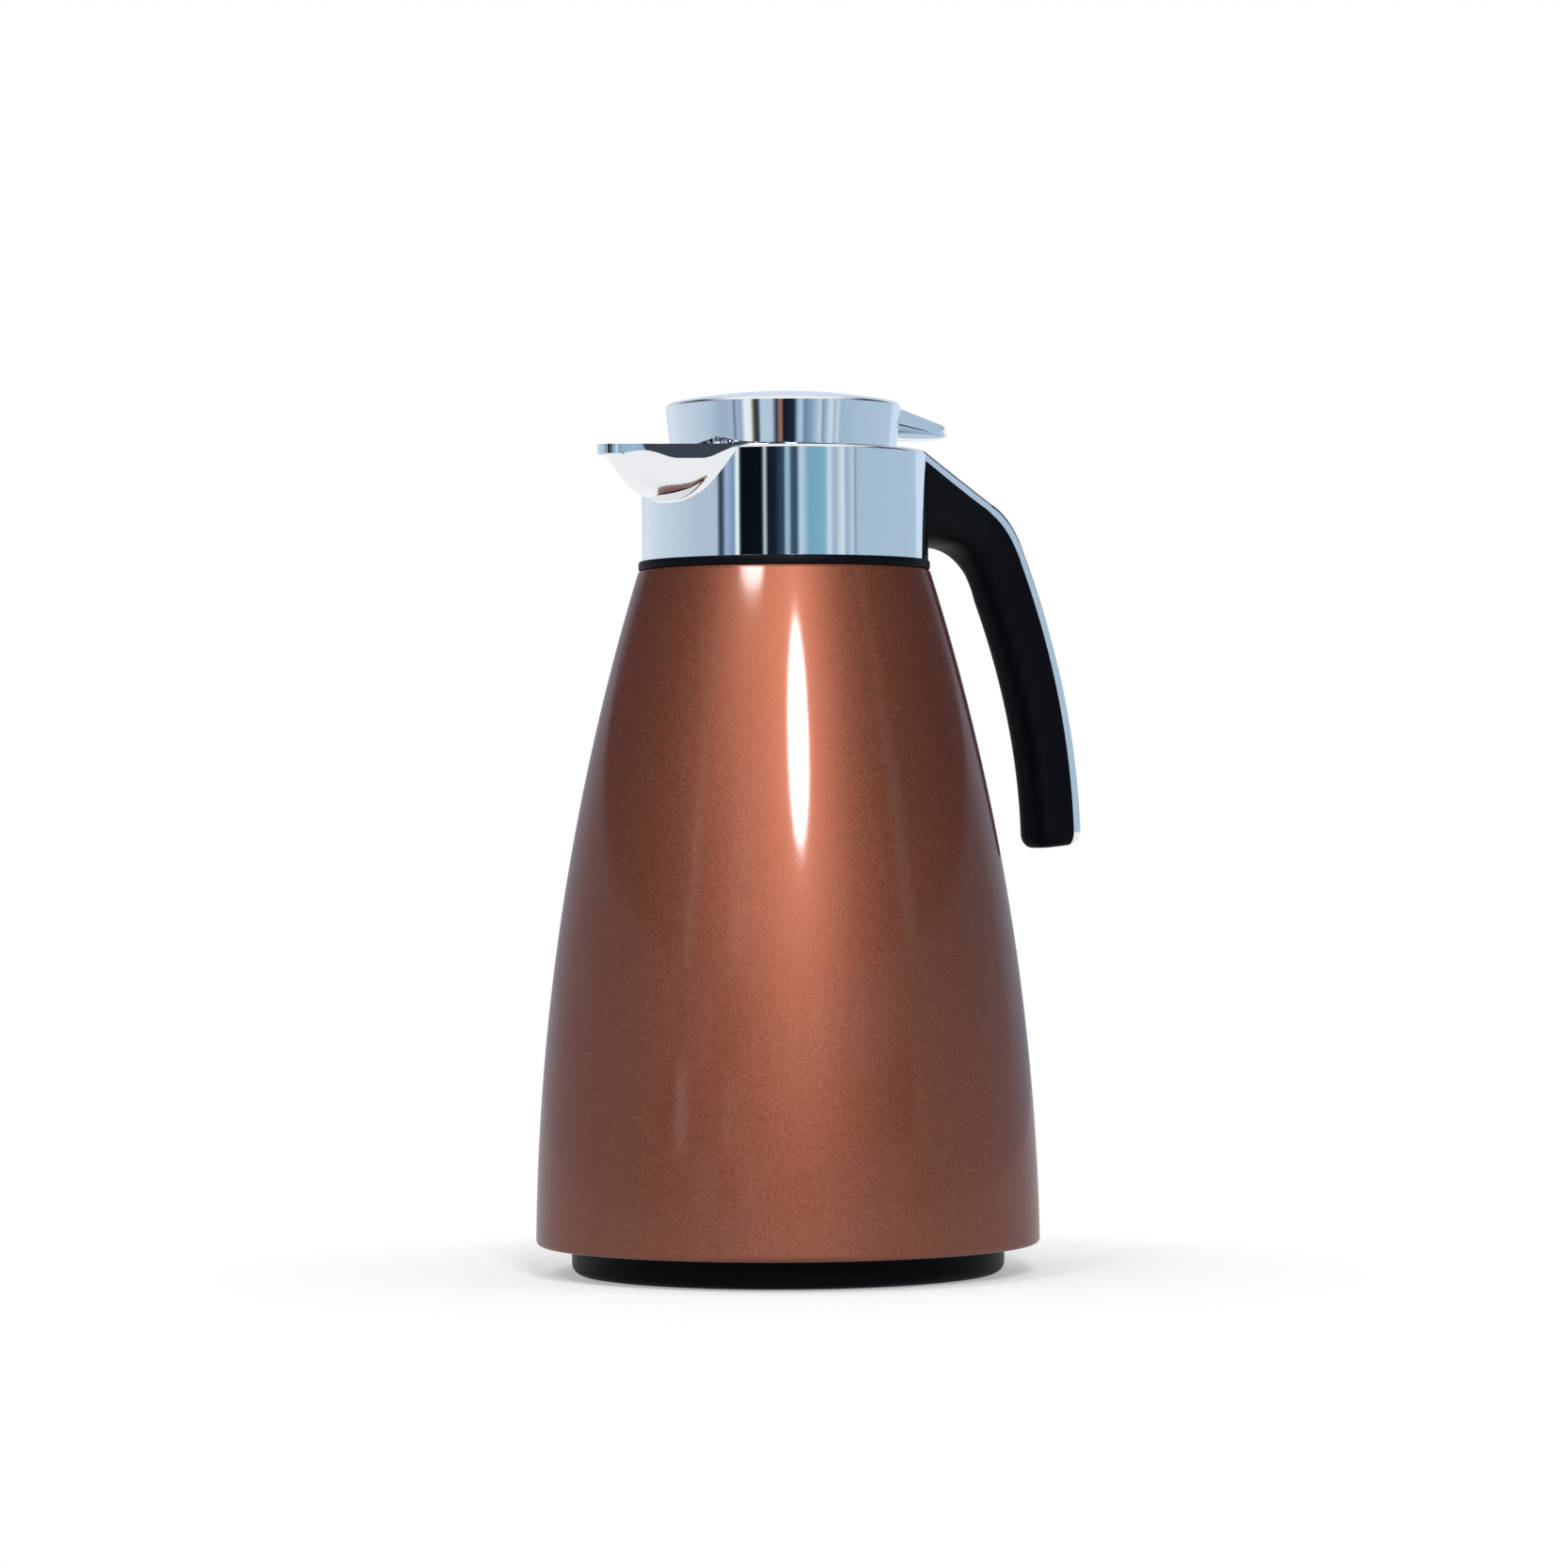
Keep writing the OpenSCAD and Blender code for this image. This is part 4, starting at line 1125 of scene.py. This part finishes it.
# ---- stage
# What the room shows to the plating: directions in degrees to the right of the camera,
# with the brightness of red, green and blue there, at the height of the lid and the collar
LID_VIEW = [
    (-180, 0.62, 0.68, 0.88), (-150, 0.8, 0.89, 0.97), (-88, 0.56, 0.7, 0.81),
    (-64, 0.39, 0.51, 0.64), (-51, 0.44, 0.53, 0.66), (-49, 0.12, 0.18, 0.26),
    (-47, 0.38, 0.52, 0.7), (-42, 0.34, 0.46, 0.62), (-38, 0.95, 1.0, 1.0),
    (-32, 0.92, 0.97, 1.0), (-30, 0.22, 0.21, 0.15), (-27, 0.02, 0.02, 0.02),
    (-24, 0.08, 0.11, 0.14), (-22, 0.55, 0.69, 0.8), (-11, 0.52, 0.67, 0.8),
    (-8, 0.08, 0.12, 0.18), (-6, 0.02, 0.02, 0.03), (-4.5, 0.32, 0.17, 0.13),
    (-1.5, 0.32, 0.17, 0.13), (0, 0.01, 0.01, 0.015), (11, 0.012, 0.025, 0.055),
    (14, 0.31, 0.49, 0.64), (17, 0.55, 0.71, 0.88), (21, 0.18, 0.28, 0.42),
    (28, 0.28, 0.42, 0.56), (37, 0.6, 0.76, 0.88), (39, 0.22, 0.35, 0.5),
    (48, 0.74, 0.86, 0.95), (52, 0.42, 0.54, 0.66), (55, 0.7, 0.78, 0.86),
    (58, 0.4, 0.55, 0.67), (134, 0.56, 0.7, 0.87),
]
COLLAR_VIEW = [
    (-180, 0.62, 0.68, 0.88), (-145, 0.78, 0.86, 0.94), (-76, 0.51, 0.63, 0.76),
    (-55, 0.5, 0.6, 0.72), (-53, 0.05, 0.08, 0.12), (-50, 0.03, 0.05, 0.1),
    (-47, 0.4, 0.52, 0.72), (-40, 0.2, 0.31, 0.5), (-38, 0.92, 1.0, 1.0),
    (-36.5, 0.9, 1.0, 1.0), (-35, 0.003, 0.005, 0.01), (-17, 0.003, 0.006, 0.01),
    (-15, 0.7, 0.82, 0.95), (-13, 0.01, 0.013, 0.02), (-7, 0.01, 0.016, 0.027),
    (0, 0.045, 0.085, 0.14), (2, 0.42, 0.6, 0.76), (4, 0.36, 0.52, 0.67), (6, 0.05, 0.09, 0.15),
    (10.5, 0.05, 0.09, 0.14), (13, 0.6, 0.78, 0.9), (20, 0.21, 0.43, 0.59),
    (33, 0.25, 0.5, 0.64), (36.5, 0.68, 0.82, 0.93), (41, 0.35, 0.5, 0.65),
    (48, 0.78, 0.88, 0.96), (51, 0.34, 0.47, 0.62), (57, 0.6, 0.72, 0.82),
    (59, 0.27, 0.38, 0.5), (61, 0.44, 0.59, 0.72), (132, 0.48, 0.62, 0.76),
    (136, 0.68, 0.82, 0.97),
]
# What it shows to the shell at its foot, lower and higher, and under the ceiling
FOOT_VIEW = [
    (-180, 0.6, 0.68, 0.88), (-140, 0.74, 0.83, 0.92), (-76, 0.51, 0.63, 0.76),
    (-62, 0.4, 0.5, 0.6), (-58, 0.1, 0.12, 0.16), (-53, 0.1, 0.12, 0.16), (-51, 2.6, 2.6, 2.8),
    (-47, 2.0, 2.0, 2.2), (-45, 0.3, 0.3, 0.34), (-40, 0.08, 0.09, 0.12),
    (-30, 0.08, 0.09, 0.12), (-28, 1.0, 1.0, 1.1), (-22, 0.4, 0.42, 0.46),
    (-16, 0.08, 0.09, 0.12), (60, 0.07, 0.08, 0.11), (62, 0.9, 0.95, 1.0), (68, 0.5, 0.55, 0.6),
    (72, 0.46, 0.6, 0.73), (132, 0.5, 0.64, 0.78), (136, 0.68, 0.82, 0.97),
]
STREAK_VIEW = [
    (-180, 0.7, 0.76, 0.92), (-150, 0.62, 0.7, 0.82), (-136, 0.08, 0.09, 0.13),
    (-52, 0.07, 0.08, 0.11), (-51, 1.7, 1.7, 1.8), (-48, 1.1, 1.1, 1.2),
    (-47, 0.06, 0.07, 0.09), (-29, 0.05, 0.06, 0.08), (-28, 1.3, 1.3, 1.4),
    (-18, 0.6, 0.62, 0.66), (-8, 0.05, 0.06, 0.08), (60, 0.05, 0.06, 0.08), (61, 1.1, 1.1, 1.2),
    (68, 0.6, 0.62, 0.7), (70, 0.07, 0.08, 0.11), (136, 0.08, 0.09, 0.13),
    (150, 0.62, 0.7, 0.82), (180, 0.7, 0.76, 0.92),
]
DARK_VIEW = [
    (-180, 0.78, 0.83, 0.95), (-150, 0.66, 0.73, 0.85), (-136, 0.08, 0.09, 0.13),
    (-53, 0.06, 0.07, 0.1), (-52, 0.9, 0.9, 1.0), (-50, 0.5, 0.5, 0.6), (-49, 0.05, 0.06, 0.08),
    (61, 0.05, 0.06, 0.08), (62, 0.8, 0.82, 0.9), (68, 0.4, 0.42, 0.5), (69, 0.06, 0.07, 0.1),
    (136, 0.08, 0.09, 0.13), (150, 0.66, 0.73, 0.85), (180, 0.78, 0.83, 0.95),
]
CEILING_VIEW = [
    (-180, 0.66, 0.7, 0.76),
]
# Height in metres at which each view starts, the height over which it fades in, and the view
ROOM_VIEWS = [
    (0.10, 0.02, FOOT_VIEW), (0.25, 0.02, COLLAR_VIEW), (0.43, 0.03, STREAK_VIEW),
    (0.74, 0.30, DARK_VIEW), (2.0, 0.6, CEILING_VIEW),
]


WHITE = (1, 1, 1, 1)
SHADOW_REACH = 0.17  # metres from the jug's axis within which the floor keeps shadows
SHADOW_SHARE = 0.95  # how much of them it keeps at the axis
FLOOR_HALF, ROOM_RADIUS, ROOM_HEIGHT = 12, 1.68, 3.0  # metres
# Name, bearing, rise, distance, width and height, power's setting, shown in reflections
LAMPS = [
    ("key", 8, 27, 1.5, (0.29, 0.40), "key_power", True),
    ("accent", -29, 39, 1.5, (0.50, 0.16), "accent_power", True),
    ("left_fill", -62, 38, 1.7, (0.9, 0.9), "fill_power", False),
    ("right_fill", 70, 38, 1.7, (0.9, 0.9), "fill_power", False),
]


def facing(stage):
    """Horizontal directions from the jug's axis to the camera and to the camera's right."""
    to_camera = Vector((sin(stage.azimuth), -cos(stage.azimuth), 0))
    return to_camera, Vector((-to_camera.y, to_camera.x, 0))


def emptied(name):
    """A new material without nodes."""
    material = bpy.data.materials.new(name)
    material.use_nodes = True
    material.node_tree.nodes.clear()
    return material


def floor_finish():
    """A white floor that shows white to the camera but keeps a share of the shadows."""
    material = emptied("floor_finish")
    floor = NodeMaker(material.node_tree)
    paper = floor.node("BsdfDiffuse", {}, {"Color": (0.57, 0.575, 0.58, 1)})
    glow = floor.node("Emission", {}, {"Color": WHITE, "Strength": 1.0})
    reach = floor.node("VectorMath", {"operation": "LENGTH"}, {0: floor.place()})
    near = (1.0 - Value(floor, reach.outputs["Value"]) / SHADOW_REACH).clipped()
    share = floor.rays("Camera", "Glossy") * (1.0 - SHADOW_SHARE * near)
    blend = floor.node(
        "MixShader", {}, {0: share, 1: paper.outputs[0], 2: glow.outputs[0]}
    )
    floor.node("OutputMaterial", {}, {"Surface": blend.outputs[0]})
    return material


def room_finish(stage):
    """Light and dark screens round the jug, which only reflections see."""
    material = emptied("room_finish")
    room = NodeMaker(material.node_tree)
    to_camera, to_right = facing(stage)
    where = room.place()
    turn = room.along(where, to_right).toward(room.along(where, to_camera)) / (2 * pi) + 0.5

    def seen(view):
        stops = [((bearing + 180) / 360, tint) for bearing, *tint in view]
        return room.node("ValToRGB", {"stops": stops}, {"Fac": turn}).outputs["Color"]

    height = room.along(where, (0, 0, 1))
    tint = seen(LID_VIEW)
    for start, fade, view in ROOM_VIEWS:
        tint = room.mix(((height - start) / fade).clipped(), tint, seen(view))
    glow = room.node("Emission", {}, {"Color": tint, "Strength": 1.0})
    room.node("OutputMaterial", {}, {"Surface": glow.outputs[0]})
    return material


def soft_light(name, stage, bearing, rise, distance, size, power, aim=(0, 0, 0.13)):
    """A disc lamp at a bearing from the camera and a rise, in degrees, that faces the jug."""
    to_camera, to_right = facing(stage)
    level = to_camera * cos(radians(bearing)) + to_right * sin(radians(bearing))
    away = level * cos(radians(rise)) + Vector((0, 0, sin(radians(rise))))
    lamp = bpy.data.lights.new(name, "AREA")
    lamp.shape = "ELLIPSE"
    lamp.size, lamp.size_y = size
    lamp.energy = power
    light = placed(name, lamp)
    light.location = Vector(aim) + away * distance
    light.rotation_euler = away.to_track_quat("Z", "Y").to_euler()
    return light


def set_world(scene, stage):
    """White where it is seen, and a plain level of light from all round elsewhere."""
    world = scene.world or bpy.data.worlds.new("World")
    scene.world = world
    world.use_nodes = True
    world.node_tree.nodes.clear()
    sky = NodeMaker(world.node_tree)
    seen = sky.rays("Camera", "Glossy", "Transmission")
    level = stage.sky + (1 - stage.sky) * seen
    glow = sky.node("Background", {}, {"Color": WHITE, "Strength": level})
    sky.node("OutputWorld", {}, {"Surface": glow.outputs[0]})


def set_camera(scene, stage):
    """A level camera that looks at the jug's axis, a little up and a little rolled."""
    to_camera, _ = facing(stage)
    ahead = Vector((*(-to_camera.xy * cos(stage.tilt)), sin(stage.tilt)))
    lens = bpy.data.cameras.new("Camera")
    lens.lens = stage.lens
    lens.shift_x = stage.shift
    lens.clip_start = 0.05
    lens.clip_end = 50
    camera = placed("Camera", lens)
    camera.location = to_camera * stage.distance + Vector((0, 0, stage.eye_height))
    turn = ahead.to_track_quat("-Z", "Y").to_matrix() @ Matrix.Rotation(stage.roll, 3, "Z")
    camera.rotation_euler = turn.to_euler()
    scene.camera = camera


class JUG_OT_stage(Undoable, bpy.types.Operator):
    """Sets the floor, the room, the lamps and the camera"""

    bl_idname = "jug.stage"
    bl_label = "Stage"

    def execute(self, context):
        scene, stage = context.scene, context.scene.jug_stage
        scene.view_settings.view_transform = "Standard"
        bm = bmesh.new()
        bmesh.ops.create_grid(bm, x_segments=1, y_segments=1, size=FLOOR_HALF)
        floor = as_object(bm, "floor")
        floor.data.materials.append(floor_finish())
        bm = bmesh.new()
        bmesh.ops.create_circle(bm, segments=96, radius=ROOM_RADIUS)
        wall = bmesh.ops.extrude_edge_only(bm, edges=bm.edges[:])["geom"]
        top = [vert for vert in wall if isinstance(vert, bmesh.types.BMVert)]
        bmesh.ops.translate(bm, verts=top, vec=(0, 0, ROOM_HEIGHT))
        room = as_object(bm, "room")
        room.data.materials.append(room_finish(stage))
        for rays in ("camera", "diffuse", "shadow", "transmission"):
            setattr(room, "visible_" + rays, False)
        for name, bearing, rise, distance, size, power, glossy in LAMPS:
            lamp = soft_light(name, stage, bearing, rise, distance, size, getattr(stage, power))
            lamp.visible_glossy = glossy
        set_world(scene, stage)
        set_camera(scene, stage)
        return {"FINISHED"}


class JUG_PT_pieces(bpy.types.Panel):
    """Lists the pieces of the jug"""

    bl_label = "Insulated Jug"
    bl_space_type = "VIEW_3D"
    bl_region_type = "UI"
    bl_category = "Jug"

    def draw(self, context):
        for operator in OPERATORS:
            self.layout.operator(operator.bl_idname)
        for settings in SETTINGS:
            box = self.layout.box()
            for name in SETTINGS[settings].__annotations__:
                box.prop(getattr(context.scene, settings), name)


SETTINGS = {
    "jug_shell": JugShellSizes,
    "jug_collar": JugCollarSizes,
    "jug_lid": JugLidSizes,
    "jug_handle": JugHandleSizes,
    "jug_finishes": JugFinishes,
    "jug_stage": JugStageSettings,
}
OPERATORS = (
    JUG_OT_stage, JUG_OT_shell, JUG_OT_collar, JUG_OT_lid, JUG_OT_lever,
    JUG_OT_handle, JUG_OT_spring, JUG_OT_works,
)


def register():
    """Adds the classes and the scene's settings."""
    for cls in (*SETTINGS.values(), *OPERATORS, JUG_PT_pieces):
        bpy.utils.register_class(cls)
    for name, group in SETTINGS.items():
        setattr(bpy.types.Scene, name, bpy.props.PointerProperty(type=group))


def unregister():
    """Takes the settings and the classes away."""
    for name in SETTINGS:
        delattr(bpy.types.Scene, name)
    for cls in (JUG_PT_pieces, *reversed(OPERATORS), *SETTINGS.values()):
        bpy.utils.unregister_class(cls)


def main():
    """Builds every piece and the stage."""
    register()
    for operator in OPERATORS:
        getattr(bpy.ops.jug, operator.bl_idname.split(".")[1])()
    bpy.context.view_layer.update()


if __name__ == "__main__":
    main()
